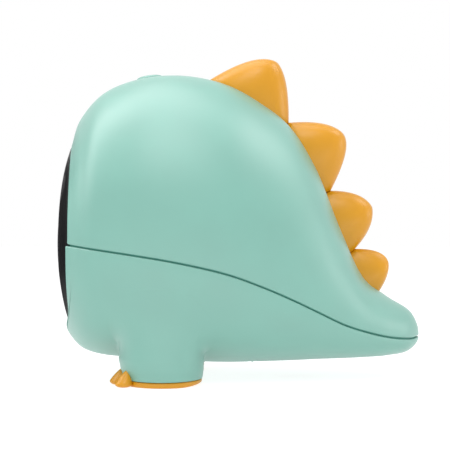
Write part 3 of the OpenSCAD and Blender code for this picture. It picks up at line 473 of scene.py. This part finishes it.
orange = moulded("orange_abs", (0.66, 0.29, 0.003), gloss=0.33, shine=0.4, skin=0.22)
for name, side in (("left_foot", -1), ("right_foot", 1)):
    sole = [[0, 0], [17.6, 0], [18.4, 0.08], [18.9, 0.3], [19.2, 0.7], [19.37, 1.3], [SOLE_R, 2.9],
            [19.25, 3.25], [18.9, 3.45], [17.3, 3.5], [17.3, 7.2], [17, 7.5], [0, 7.5]]
    points, faces = lathe(sole)
    heel = np.clip((points[:, 0] / SOLE_R - 0.4) / 0.6, 0, 1)**2
    points[:, 2] += 1.3 * heel * np.clip(1 - points[:, 2] / 3, 0, 1)
    outside = np.maximum(side * points[:, 1] / SOLE_R, 0)
    points[:, 2] -= ANKLE_DROP * outside * np.clip(points[:, 2] - 2, 0, 1) * (points[:, 2] < 5)
    foot = piece(name + "_sole", points + [LEG_X, side * LEG_Y, 0], faces)
    for angle in CLAW_TURNS:
        carve(foot, tool_object(*claw(angle, side)), "UNION")
    coat(foot, orange, sharp=40)
    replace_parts(foot, name)


# Battery box: a black moulded tray over the belly hatch with four penlight cells in plain sleeves.
# Nickel springs and tabs join the cells; two zinc screws hold the box to bosses of the lower shell.
def metal(name, colour, rough=0.32, stretch=(40, 900, 900)):
    """Plated metal: fine drawn streaks, stretched along one axis, in both gloss and tone."""
    mat = bpy.data.materials.new(name)
    mat.use_nodes = True
    tree = mat.node_tree
    shader = tree.nodes["Principled BSDF"]
    shader.inputs["Metallic"].default_value = 1
    where = tree.nodes.new("ShaderNodeTexCoord")
    pull = tree.nodes.new("ShaderNodeMapping")
    pull.inputs["Scale"].default_value = stretch
    streak = tree.nodes.new("ShaderNodeTexNoise")
    streak.inputs["Scale"].default_value = 3
    streak.inputs["Detail"].default_value = 5
    tone = tree.nodes.new("ShaderNodeValToRGB")
    tone.color_ramp.elements[0].color = [c * 0.8 for c in colour] + [1]
    tone.color_ramp.elements[1].color = list(colour) + [1]
    gloss = tree.nodes.new("ShaderNodeMapRange")
    gloss.inputs["To Min"].default_value = rough - 0.1
    gloss.inputs["To Max"].default_value = rough + 0.14
    link = tree.links.new
    link(where.outputs["Object"], pull.inputs["Vector"])
    link(pull.outputs["Vector"], streak.inputs["Vector"])
    link(streak.outputs["Fac"], tone.inputs["Fac"])
    link(tone.outputs["Color"], shader.inputs["Base Color"])
    link(streak.outputs["Fac"], gloss.inputs["Value"])
    link(gloss.outputs["Result"], shader.inputs["Roughness"])
    return mat


def dress(material, *names):
    """Gives a node of the frame its material."""
    for name in names:
        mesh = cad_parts[name].data
        mesh.materials.clear()
        mesh.materials.append(material)


dark = moulded("dark_abs", (0.02, 0.02, 0.022), gloss=0.4, drift=0.15)
zinc = metal("zinc_steel", (0.62, 0.63, 0.66))
nickel = metal("nickel_strip", (0.72, 0.70, 0.66), rough=0.24)
dress(dark, "battery_box")
dress(nickel, "battery_contacts")
dress(zinc, "battery_box_screws")


def sleeve(name, low, high):
    """Cell sleeve: dark film whose colour steps along X to a copper band at the raised end."""
    mat = moulded(name, (0.03, 0.032, 0.036), gloss=0.3, drift=0.2)
    tree = mat.node_tree
    shader = tree.nodes["Principled BSDF"]
    where = tree.nodes.new("ShaderNodeTexCoord")
    along = tree.nodes.new("ShaderNodeSeparateXYZ")
    span = tree.nodes.new("ShaderNodeMapRange")
    span.inputs["From Min"].default_value = low
    span.inputs["From Max"].default_value = high
    band = tree.nodes.new("ShaderNodeValToRGB")
    band.color_ramp.interpolation = "CONSTANT"
    band.color_ramp.elements[0].color = (0.55, 0.30, 0.12, 1)
    band.color_ramp.elements[1].position = 0.26
    band.color_ramp.elements[1].color = (0.03, 0.032, 0.036, 1)
    link = tree.links.new
    link(where.outputs["Object"], along.inputs["Vector"])
    link(along.outputs["X"], span.inputs["Value"])
    link(span.outputs["Result"], band.inputs["Fac"])
    link(band.outputs["Color"], shader.inputs["Base Color"])
    return mat


dress(sleeve("cell_sleeve_rear", 0.006, -0.045), "cell_1", "cell_4")
dress(sleeve("cell_sleeve_front", -0.045, 0.006), "cell_2", "cell_3")


# Battery door: a mint hatch in the belly that swings down on two pins at its rear edge.
# One captive zinc screw with a crossed recess holds its front edge against the bar.
HATCH_GAP, HATCH_END, HATCH_TOP = 0.5, 3.8, 12.15
HATCH_WALL, HATCH_LIFT = 2, 0.03


def belly_height(x, y):
    """Height of the belly's outside: the lower section's superellipse where the seam has that x."""
    u = np.linspace(0.6, 8, 800)
    seam, edge, _, _ = body_lines(u, -1)
    zs = np.interp(x, seam[:, 0], seam[:, 2]) - SEAM_GAP / 2
    zl = np.interp(x, edge[:, 0], edge[:, 1])
    share = np.clip(1 - (np.abs(y) / np.interp(x, seam[:, 0], seam[:, 1]))**ROUND_LOW[0], 0, 1)
    return zs - (zs - zl) * share**(1 / ROUND_LOW[1])


def hatch():
    """Curved plate: rows across the hatch on the belly's own surface, closed by a second surface above it."""
    rows, columns = 60, 41
    x = np.linspace(DOOR_X0 + HATCH_GAP, HATCH_END, rows)[:, None]
    y = np.linspace(HATCH_GAP - DOOR_Y, DOOR_Y - HATCH_GAP, columns)[None, :]
    low = np.stack([x + 0 * y, y + 0 * x, belly_height(x, y) + HATCH_LIFT], -1)
    high = low.copy()
    high[..., 2] = np.minimum(low[..., 2] + HATCH_WALL, HATCH_TOP)
    grid = np.concatenate([low, high[:, ::-1]], axis=1)
    return grid.reshape(-1, 3), shell_faces(rows, columns)


door = piece("battery_door_hatch", *hatch(), body="door")
rod = [[0, -13.5], [0.8, -13.5], [0.8, -11.2], [1.1, -11.2], [1.1, 11.2], [0.8, 11.2], [0.8, 13.5], [0, 13.5]]
points, faces = lathe(rod, 48)
carve(door, tool_object(*box_mesh([1.8, -11, 9.3], [HINGE_X, 11, 10.4])), "UNION")
carve(door, tool_object(points[:, [0, 2, 1]] + [HINGE_X, 0, HINGE_Z], faces), "UNION")
carve(door, tool_object(*post(DOOR_SCREW_X, 0, (2.75, 2), (2.75, 11.85), (1.4, 11.85), (1.4, 30))))
coat(door, mint, sharp=38)
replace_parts(door, "battery_door")


def cross_screw(name, x, y, z, head, length, radius, body):
    """Pan-head screw pointing up: turned head and shank, two crossed slots sunk into the head from below."""
    profile = [[0, z], [1.6, z + 0.05], [2.2, z + 0.35], [2.45, z + 0.8], [2.5, z + head], [radius, z + head],
               [radius, z + length - 1], [radius * 0.4, z + length], [0, z + length]]
    points, faces = lathe(profile, 64)
    screw = piece(name, points + [x, y, 0], faces, body=body, sharp=30)
    for w, d in ((1.7, 0.28), (0.28, 1.7)):
        carve(screw, tool_object(*box_mesh([x - w, y - d, z - 1], [x + w, y + d, z + 0.9])))
    coat(screw, zinc, sharp=30)
    return screw


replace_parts(cross_screw("door_screw_cross", DOOR_SCREW_X, 0, 10.22, 1.6, 4.43, 1.25, "door"), "door_screw")
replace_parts(cross_screw("tail_screw_cross", TAIL_SCREW_X, 0, 14.45, 1.6, 20.1, 1.25, "casing"), "tail_screw")


# Solution tank: a clear moulded trough behind the mouth, which the wheel's wands dip into.
# Two flat steel weights before and under it steady the toy on its feet when the tank is empty.
def clear(name, colour, haze=0.08):
    """Clear plastic: tinted, with faint flow marks that make its gloss uneven."""
    mat = moulded(name, colour, gloss=haze, drift=0.02, grain=0.004)
    shader = mat.node_tree.nodes["Principled BSDF"]
    shader.inputs["Transmission Weight"].default_value = 0.9
    shader.inputs["IOR"].default_value = 1.49
    gloss = [n for n in mat.node_tree.nodes if n.bl_idname == "ShaderNodeMapRange"][0]
    gloss.inputs["To Min"].default_value = 0.04
    gloss.inputs["To Max"].default_value = haze + 0.08
    return mat


dress(clear("clear_styrene", (0.86, 0.93, 0.95)), "solution_tank")
dress(metal("rolled_steel", (0.42, 0.42, 0.44), rough=0.45), "counterweights")

# Gear train: a grey moulded plate carries the wheel's brass bush and a small steel-cased gear motor.
# White nylon pinion and gear, drawn steel shafts and a spring clip turn the wheel at half the pinion's speed.
grey = moulded("grey_abs", (0.33, 0.34, 0.36), gloss=0.5, drift=0.05)
nylon = moulded("white_nylon", (0.80, 0.80, 0.77), gloss=0.42, drift=0.02)
can = metal("motor_can_steel", (0.66, 0.67, 0.69), rough=0.3, stretch=(900, 60, 60))
dress(grey, "mechanism_plate")
dress(nylon, "wheel_gear", "drive_pinion")
drawn = metal("drawn_shaft", (0.70, 0.70, 0.72), rough=0.2, stretch=(900, 40, 40))
dress(drawn, "wheel_shaft", "pinion_shaft", "shaft_clip")
dress(metal("bush_brass", (0.72, 0.53, 0.22), rough=0.28, stretch=(900, 60, 60)), "wheel_bush")
dress(can, "gear_motor_can")
dress(metal("gearbox_steel", (0.58, 0.58, 0.60), rough=0.36), "gear_motor_box")
dress(zinc, "plate_screws", "gear_motor_screws")

# Bubble wheel: an orange moulded wheel of eight open wands round a hub, pressed on its steel shaft.
# Each wand is ribbed inside to hold the film of solution.
WHEEL_X, WHEEL_Z = -70.0, 51.0
WANDS, WAND_REACH, WAND_RIBS = 8, 19, 30


def wand_points(angle):
    """Wand: a round hoop about X whose inside carries thirty small ribs, rounded at both edges."""
    t = np.linspace(0, 2 * math.pi, 240, endpoint=False)[None, :]
    edge = np.array([[5.9, -2.5], [6.7, -2.5], [7.0, -2.2], [7.0, 2.2], [6.7, 2.5], [5.9, 2.5], [5.5, 2.1],
                     [5.5, -2.1]])
    rib = np.array([0, 0, 0, 0, 0, 0.2, 0.3, 0.3])[:, None] * (0.5 - 0.5 * np.cos(WAND_RIBS * t))
    r = edge[:, :1] + rib
    y = r * np.cos(t) + WAND_REACH * math.cos(angle)
    z = r * np.sin(t) + WAND_REACH * math.sin(angle)
    grid = np.stack([WHEEL_X + edge[:, 1:] + 0 * t, y, WHEEL_Z + z], -1)
    return grid.reshape(-1, 3), ring_faces(len(edge), 240, row_wrap=True)


hub = [[2.02, -3.3], [4.6, -3.3], [5, -2.9], [5, 3.6], [4.6, 4.0], [2.02, 4.0], [2.02, -3.3]]
points, faces = lathe(hub)
points = np.stack([WHEEL_X + points[:, 2], points[:, 0], WHEEL_Z + points[:, 1]], 1)
wheel = piece("bubble_wheel_hoops", points, faces, body="wheel")


def spoke_points(angle):
    """Spoke: a flat bar from the hub out to its wand, turned about the wheel's axis."""
    points, faces = box_mesh([4, -1, -2.3], [12.6, 1, 2.3])
    out, across, along = points.T
    y = out * math.cos(angle) - across * math.sin(angle)
    z = out * math.sin(angle) + across * math.cos(angle)
    return np.stack([WHEEL_X + along, y, WHEEL_Z + z], 1), faces


turns = [math.radians(90 + 360 / WANDS * k) for k in range(WANDS)]
carve(wheel, tool_object(*gathered(*map(spoke_points, turns))), "UNION")
carve(wheel, tool_object(*gathered(*map(wand_points, turns))), "UNION")
coat(wheel, orange, sharp=35)
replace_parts(wheel, "bubble_wheel")

# Blower: a grey moulded scroll with a screwed cover and a duct that ends behind the top wand.
# A paler radial impeller turns in it on the drawn shaft of the fan motor.
dress(grey, "blower_housing", "blower_cover")
dress(moulded("pale_grey_abs", (0.52, 0.53, 0.55), gloss=0.45, drift=0.04), "blower_impeller")
dress(can, "fan_motor")
dress(metal("fan_shaft_steel", (0.70, 0.70, 0.72), rough=0.2, stretch=(40, 900, 40)), "fan_shaft")
dress(zinc, "cover_screws", "blower_screws")


# Switch: a small green board under the crown with a black push switch, held by two screws.
# Leads in red insulation run from it to the battery box and the two motors.
def board(name):
    """Circuit board: green resist over lighter copper tracks drawn by a stepped wave along and across."""
    mat = moulded(name, (0.02, 0.16, 0.06), gloss=0.35, drift=0.1)
    tree = mat.node_tree
    where = tree.nodes.new("ShaderNodeTexCoord")
    track = tree.nodes.new("ShaderNodeTexBrick")
    track.inputs["Scale"].default_value = 260
    track.inputs["Mortar Size"].default_value = 0.03
    track.inputs["Color1"].default_value = (0.02, 0.15, 0.055, 1)
    track.inputs["Color2"].default_value = (0.025, 0.18, 0.07, 1)
    track.inputs["Mortar"].default_value = (0.06, 0.30, 0.12, 1)
    tree.links.new(where.outputs["Object"], track.inputs["Vector"])
    tree.links.new(track.outputs["Color"], tree.nodes["Principled BSDF"].inputs["Base Color"])
    return mat


dress(board("green_board"), "switch_board")
dress(dark, "tact_switch")
dress(zinc, "board_screws")
dress(moulded("red_insulation", (0.42, 0.03, 0.03), gloss=0.5, drift=0.08), "wiring")

# Upper shell: head, back and tail in one mint moulding, open at the face, the button's hole on its crown.
# Its lower edge runs along the seam with a small rolled edge, so that the joint reads as a dark line.
# Two posts under the crown carry the switch board, and a boss in the tail takes the screw from below.
upper = piece("upper_shell_skin", *half_shell(1, rows=190, columns=120))
BUTTON_AT = np.array([-48, 0, 157.852])
BUTTON_HOLE = 7.2
LEAN = math.radians(-8)


def leaned(points):
    """Turns points about Y by the button's lean and carries them to its seat on the crown."""
    x, y, z = np.asarray(points).T
    cos, sin = math.cos(LEAN), math.sin(LEAN)
    return np.stack([x * cos + z * sin, y, z * cos - x * sin], 1) + BUTTON_AT


points, faces = lathe([[0, -12], [BUTTON_HOLE, -12], [BUTTON_HOLE, 6], [0, 6]])
carve(upper, tool_object(leaned(points), faces))
posts = [post(0, y, (0.9, -7.5), (0.9, -14.3), (2.6, -14.3), (2.6, -3.1)) for y in (-12.5, 12.5)]
tail_boss = post(TAIL_SCREW_X, 0, (1.3, 37.65), (1.3, 24.45), (3.5, 24.45), (3.5, 43.4))
carve(upper, tool_object(*gathered(*[(leaned(p), f) for p, f in posts], tail_boss)), "UNION")
coat(upper, mint, sharp=38)
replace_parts(upper, "upper_shell")

# Power button: a low round mint cap on the crown with a rounded edge, moulded in one with its stem.
# A flange under the shell keeps it in, and the push switch below returns it.
cap = [[0, -9], [2.5, -9], [2.5, -5.2], [8.5, -5.2], [8.5, -3.9], [6.9, -3.9], [6.9, -0.5], [6.83, -0.1],
       [6.6, 0.25], [6.2, 0.55], [5.6, 0.8], [4.8, 1.0], [3.8, 1.14], [2.6, 1.24], [1.3, 1.29], [0, 1.3]]
points, faces = lathe(cap)
button = piece("power_button_cap", leaned(points), faces, body="button")
button.data.materials.append(mint)
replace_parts(button, "power_button")

# Front panel: a domed face plate in gloss black acrylic that snaps into the open front of both shells.
# The bubble outlet is counterbored into it and two round eye windows sit above.
POLE_X, MOUTH_Z = -94.88, 70.0
BORE_R, LIP_R, DOME_R = 17.1, 19.2, 19.4
BORE_X, LIP_X = -91.0, -93.6
PANEL_SHRINK, PANEL_WALL, PANEL_ROLL = 0.3 / 46, 2.4, 0.8
FLANGE_OUT, FLANGE_IN, FLANGE_DEEP = 2.3, 4.2, 8
EYE_Y, EYE_UP, EYE_R, EYE_GAP = 23, 29, 7.0, 0.3


def rim_line():
    """Open front of both shells as polar angle, reach and x about the mouth's axis."""
    a = np.linspace(0.001, math.pi - 0.001, 400)
    high = section_points(np.zeros(400), a, 1, np.zeros(400))
    low = section_points(np.zeros(400), a, -1, np.zeros(400))
    x, y, z = np.vstack([high, low]).T
    turn = np.arctan2(z - MOUTH_Z, y) % (2 * math.pi)
    order = np.argsort(turn)
    return turn[order], np.hypot(y, z - MOUTH_Z)[order], x[order]


RIM_TURN, RIM_REACH, RIM_X = rim_line()


def rim_reach(turn):
    """Distance from the mouth's axis to the panel's outline, read off the shells' rim."""
    return np.interp(turn % (2 * math.pi), RIM_TURN, RIM_REACH, period=2 * math.pi)


def rim_x(turn):
    """How far back the panel's outline lies, read off the shells' rim."""
    return np.interp(turn % (2 * math.pi), RIM_TURN, RIM_X, period=2 * math.pi)


def dome_x(turn, r):
    """Dome: from its foremost point on the mouth's axis back to the rim, with the cube of the way out."""
    share = r / rim_reach(turn)
    return POLE_X + (rim_x(turn) - POLE_X) * np.clip(share, 0, 1.05)**3


def panel_points():
    """Panel: rings from the outlet's bore over the dome to a rolled rim, back along the flange and inside."""
    turn = np.linspace(0, 2 * math.pi, 240, endpoint=False)[None, :]
    edge = rim_reach(turn) * (1 - PANEL_SHRINK)

    def ring(r, x):
        """Circle or outline of reach r about the mouth's axis, at depth x."""
        return np.stack([x + 0 * turn, r * np.cos(turn), MOUTH_Z + r * np.sin(turn)], -1)

    rows = [ring(BORE_R, BORE_X), ring(BORE_R, LIP_X), ring(LIP_R, LIP_X),
            ring(LIP_R, dome_x(turn, LIP_R + 0 * turn) + 0.15), ring(DOME_R, dome_x(turn, DOME_R + 0 * turn))]
    share = np.linspace(0, 1, 60)[1:, None]
    r = DOME_R + (edge - PANEL_ROLL - DOME_R) * share
    front = np.stack([dome_x(turn + 0 * r, r), r * np.cos(turn), MOUTH_Z + r * np.sin(turn)], -1)
    rows += list(front[:, None])
    roll = np.linspace(0, math.pi / 2, 7)[1:]
    top = dome_x(turn, edge - PANEL_ROLL)
    rows += [ring(edge - PANEL_ROLL + PANEL_ROLL * math.sin(t), top + 1.1 * (1 - math.cos(t))) for t in roll]
    seat = np.maximum(rim_x(turn) - 0.05, top + 1.2)
    rows += [ring(edge, seat), ring(edge - FLANGE_OUT, seat),
             ring(edge - FLANGE_OUT, top + FLANGE_DEEP), ring(edge - FLANGE_IN, top + FLANGE_DEEP)]
    r = edge - FLANGE_IN + (BORE_R - edge + FLANGE_IN) * np.linspace(0, 1, 20)[:-1, None]
    back = np.stack([dome_x(turn + 0 * r, np.minimum(r * 1.05, edge)) + PANEL_WALL, r * np.cos(turn),
                     MOUTH_Z + r * np.sin(turn)], -1)
    rows += list(back[:, None])
    grid = np.concatenate([q.reshape(1, -1, 3) for q in rows])
    return grid.reshape(-1, 3), ring_faces(*grid.shape[:2], row_wrap=True)


panel = piece("front_panel_dome", *panel_points())
for side in (-1, 1):
    hole = EYE_R + EYE_GAP
    points, faces = lathe([[0, -100], [hole, -100], [hole, -76], [0, -76]])
    tool = np.stack([points[:, 2], points[:, 0] + side * EYE_Y, points[:, 1] + MOUTH_Z + EYE_UP], 1)
    carve(panel, tool_object(tool, faces))
black = moulded("black_gloss_acrylic", (0.010, 0.010, 0.011), gloss=0.3, drift=0.2, grain=0.002, shine=0.12)
coat(panel, black, sharp=38)
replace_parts(panel, "front_panel")

# Outlet ring: a dark moulded sleeve pressed into the mouth, its lip sunk flush with the dome.
# It leads the air and the bubbles from the top wand out through the panel.
p = np.array([[15.8, -94.5], [18.3, -94.5], [18.7, -94.35], [18.9, -94.1], [18.9, -93.9], [16.8, -93.9],
              [16.8, -77], [15.4, -77], [15.4, -94.1], [15.5, -94.4]])
t = np.linspace(0, 2 * math.pi, 160, endpoint=False)[None, :]
grid = np.stack([p[:, 1:] + 0 * t, p[:, :1] * np.cos(t), MOUTH_Z + p[:, :1] * np.sin(t)], -1)
outlet = piece("outlet_sleeve", grid.reshape(-1, 3), ring_faces(len(p), 160, row_wrap=True))
outlet.data.materials.append(dark)
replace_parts(outlet, "outlet_ring")

# Eyes: two plain round windows of dark plastic with an eased edge.
# They are set flush in the dome and cemented from behind.
for name, side in (("left_eye", -1), ("right_eye", 1)):
    share = np.concatenate([np.linspace(0, 0.95, 20), [0.985, 1.0], [1.0], np.linspace(0.9, 0, 8)])[:, None]
    r = EYE_R * share
    t = np.linspace(0, 2 * math.pi, 96, endpoint=False)[None, :]
    y, z = side * EYE_Y + r * np.cos(t), EYE_UP + r * np.sin(t)
    depth = np.concatenate([np.zeros(20), [0.05, 0.25], np.full(9, PANEL_WALL)])[:, None]
    x = dome_x(np.arctan2(z, y), np.hypot(y, z)) + depth
    grid = np.stack([x, y, z + MOUTH_Z], -1)
    eye = piece(name + "_window", grid.reshape(-1, 3), ring_faces(len(share), 96))
    eye.data.materials.append(dark)
    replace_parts(eye, name)

# Dorsal spikes: four moulded orange scales of falling size, pegged into the back with their feet on the mint.
# Each is a plump cone that leans to the tail, with a soft ridge at its crest.
# A row gives both ends of the foot, the tip, the two pulls, the share of the width and the foot's span in x.
SPIKES = [([-16, 156.9], [25.72, 134.15], [19.6, 165.98], [9, 172.4], [26.1, 159.4], 1.0, -16, 24.9),
          ([25.68, 134.2], [47.93, 98.2], [54.8, 128], [48, 136.2], [59.8, 121], 0.9, 24.8, 45.05),
          ([47.87, 98.2], [60.83, 67.4], [70.0, 89.4], [65.2, 98.2], [71.6, 79], 0.75, 44.95, 57.85),
          ([60.77, 67.4], [73.7, 45], [78.5, 60.6], [76.0, 67.7], [79.6, 54], 0.58, 57.75, 73.7)]
SPIKE_HALF, SPIKE_SUNK, CREST_SHIFT = 11, 0.25, 0.22


def back_height(x, y):
    """Height of a spike's foot: the upper section's superellipse where the seam has that x, sunk a little."""
    u = np.linspace(0, TAIL_U, 2000)
    at = np.interp(x, body_lines(u, 1)[0][:, 0], u)
    seam, edge, _, way = body_lines(at, 1)
    zs = seam[..., 2] + SEAM_GAP / 2
    lift = np.hypot(way[..., 0], way[..., 1]) / np.maximum(way[..., 0], 1e-6)
    share = np.clip(1 - (np.abs(y) / seam[..., 1])**ROUND_UP[0], 0, 1)
    z = zs + (edge[..., 1] - zs) * share**(1 / ROUND_UP[1])
    return z - SPIKE_SUNK * lift


def spike_points(foot0, foot1, tip, pull0, pull1, share, x0, x1):
    """Spike: rings between a front and a rear quadratic curve that meet at the tip, oval across."""
    d0, d1, d2, d3, d4 = (np.array(v, float) for v in (foot0, foot1, tip, pull0, pull1))
    a = np.linspace(0, 2 * math.pi, 128, endpoint=False)[None, :]
    c = (np.cos(a) - CREST_SHIFT * np.sin(a)**2)[..., None]

    def mix(p, q):
        """Points between a front and a rear one, by the ring's share c from -1 to 1."""
        return (p + q) / 2 + (q - p) / 2 * c

    bx = (x0 + x1) / 2 + (x1 - x0) / 2 * np.cos(a)
    by = SPIKE_HALF * share * np.sin(a)
    base = np.stack([bx, back_height(bx, by)], -1)
    skirt0 = d0 - [x0, back_height(np.array([float(x0)]), 0.0)[0]]
    skirt1 = d1 - [x1, back_height(np.array([float(x1)]), 0.0)[0]]
    h = np.sin(np.radians(88 * np.linspace(0, 1, 56)))[:, None, None]

    def bow(p, q, r):
        """Quadratic curve from p to r, pulled towards q."""
        return (1 - h)**2 * p + 2 * h * (1 - h) * q + h**2 * r

    xz = mix(bow(d0, d3, d2), bow(d1, d4, d2)) + (1 - h) * (base + mix(skirt0, skirt1) - mix(d0, d1))
    y = by * (1 - h[..., 0]**2)**0.9
    grid = np.stack([xz[..., 0], y, xz[..., 1]], -1)
    near = np.linspace(0, 1, 9)[:, None]
    fx, fy = (x0 + x1) / 2 + (bx - (x0 + x1) / 2) * near, by * near
    foot = np.stack([fx, fy, back_height(fx, fy)], -1)
    top = grid[-1:].mean(axis=1, keepdims=True) + 0 * grid[:1]
    grid = np.concatenate([foot, grid, top])
    return grid.reshape(-1, 3), ring_faces(*grid.shape[:2])


for number, shape in enumerate(SPIKES, 1):
    spike = piece(f"dorsal_spike_{number}_scale", *spike_points(*shape), sharp=60)
    spike.data.materials.append(orange)
    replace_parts(spike, f"dorsal_spike_{number}")

# Studio: a plain pale floor and surround, seven soft boxes, a level camera at the toy's side.
# For the camera, floor and surround are paper white; the floor keeps a faint shadow under the toy.
# The toy itself is lit by, and reflects, a softly lit table.
camera = bpy.data.objects.new("camera", bpy.data.cameras.new("camera"))
bpy.context.scene.collection.objects.link(camera)
camera.data.sensor_width = 36
camera.data.lens = 105.66
camera.data.clip_start = 0.01
camera.location = (-0.00805, -0.7, 0.08)
camera.rotation_euler = (math.pi / 2, 0, 0)
bpy.context.scene.camera = camera
for name, place, aim, wide, deep, power in (
        ("top_box", (-0.08, -0.04, 0.62), (-0.03, 0.0, 0.10), 0.50, 0.36, 1.15),
        ("left_box", (-0.42, -0.06, 0.60), (-0.03, 0, 0.10), 0.30, 0.30, 0.9),
        ("right_box", (0.46, -0.10, 0.60), (0.02, 0, 0.12), 0.32, 0.32, 1.05),
        ("front_box", (-0.06, -0.58, 0.66), (-0.02, 0, 0.09), 0.30, 0.30, 1.05),
        ("low_left_box", (-0.57, -0.14, 0.40), (-0.06, 0, 0.10), 0.36, 0.30, 0.65),
        ("low_right_box", (0.70, -0.12, 0.16), (0.04, 0, 0.05), 0.30, 0.24, 0.5),
        ("floor_box", (0.0, -0.50, 0.02), (0.0, 0, 0.03), 0.90, 0.10, 0.38)):
    lamp = bpy.data.lights.new(name, "AREA")
    lamp.shape = "RECTANGLE"
    lamp.size = wide
    lamp.size_y = deep
    lamp.energy = power
    obj = bpy.data.objects.new(name, lamp)
    obj.location = place
    way = np.array(place) - aim
    tilt = math.acos(way[2] / np.linalg.norm(way))
    obj.rotation_euler = (tilt, 0, math.atan2(way[1], way[0]) + math.pi / 2)
    bpy.context.scene.collection.objects.link(obj)
    obj.visible_camera = False
floor = mesh_object("floor", *box_mesh([-3000, -2000, -6], [3000, 4000, -0.05]))
paper = bpy.data.materials.new("white_paper")
paper.use_nodes = True
tree = paper.node_tree
card = tree.nodes["Principled BSDF"]
card.inputs["Base Color"].default_value = (0.55, 0.55, 0.55, 1)
card.inputs["Roughness"].default_value = 0.9
card.inputs["Specular IOR Level"].default_value = 0
card.inputs["Emission Color"].default_value = (1, 1, 1, 1)
card.inputs["Emission Strength"].default_value = 0.6
shade = tree.nodes.new("ShaderNodeBsdfDiffuse")
shade.inputs["Color"].default_value = (0.4, 0.4, 0.4, 1)
glow = tree.nodes.new("ShaderNodeEmission")
glow.inputs["Strength"].default_value = 0.86
both = tree.nodes.new("ShaderNodeAddShader")
tree.links.new(shade.outputs["BSDF"], both.inputs[0])
tree.links.new(glow.outputs["Emission"], both.inputs[1])


def seen(tree, plain, shown, output, *rays):
    """Shows one shader to the named kinds of ray and the other to the rays that light the toy."""
    path = tree.nodes.new("ShaderNodeLightPath")
    swap = tree.nodes.new("ShaderNodeMixShader")
    picked = path.outputs[rays[0]]
    for ray in rays[1:]:
        either = tree.nodes.new("ShaderNodeMath")
        either.operation = "MAXIMUM"
        tree.links.new(picked, either.inputs[0])
        tree.links.new(path.outputs[ray], either.inputs[1])
        picked = either.outputs["Value"]
    tree.links.new(picked, swap.inputs["Fac"])
    tree.links.new(plain, swap.inputs[1])
    tree.links.new(shown, swap.inputs[2])
    tree.links.new(swap.outputs["Shader"], output.inputs["Surface"])


seen(tree, card.outputs["BSDF"], both.outputs["Shader"], tree.nodes["Material Output"], "Is Camera Ray")
floor.data.materials.append(paper)
# A dark card off to the left, out of the picture, keeps the gloss of the black front from going white.
flag_points = np.array([[-110, 130, 0.3], [-110, 1300, 0.3], [-430, 1300, 0.3], [-430, 130, 0.3],
                        [-430, 130, 240], [-430, 1300, 240]])
flag = mesh_object("dark_card", flag_points, [(0, 1, 2, 3), (3, 2, 5, 4)])
flag.visible_camera = False
flag.visible_diffuse = False
flag.visible_shadow = False
felt = bpy.data.materials.new("black_felt")
felt.use_nodes = True
felt.node_tree.nodes["Principled BSDF"].inputs["Base Color"].default_value = (0.02, 0.02, 0.02, 1)
felt.node_tree.nodes["Principled BSDF"].inputs["Roughness"].default_value = 1
flag.data.materials.append(felt)
world = bpy.data.worlds.new("studio")
bpy.context.scene.world = world
world.use_nodes = True
tree = world.node_tree
sky = tree.nodes["Background"]
sky.inputs["Color"].default_value = (1, 1, 1, 1)
sky.inputs["Strength"].default_value = 0.55
paper_white = tree.nodes.new("ShaderNodeBackground")
paper_white.inputs["Color"].default_value = (1, 1, 1, 1)
paper_white.inputs["Strength"].default_value = 1.0
seen(tree, sky.outputs["Background"], paper_white.outputs["Background"], tree.nodes["World Output"],
     "Is Camera Ray", "Is Glossy Ray", "Is Transmission Ray")
bpy.context.scene.view_settings.view_transform = "Standard"
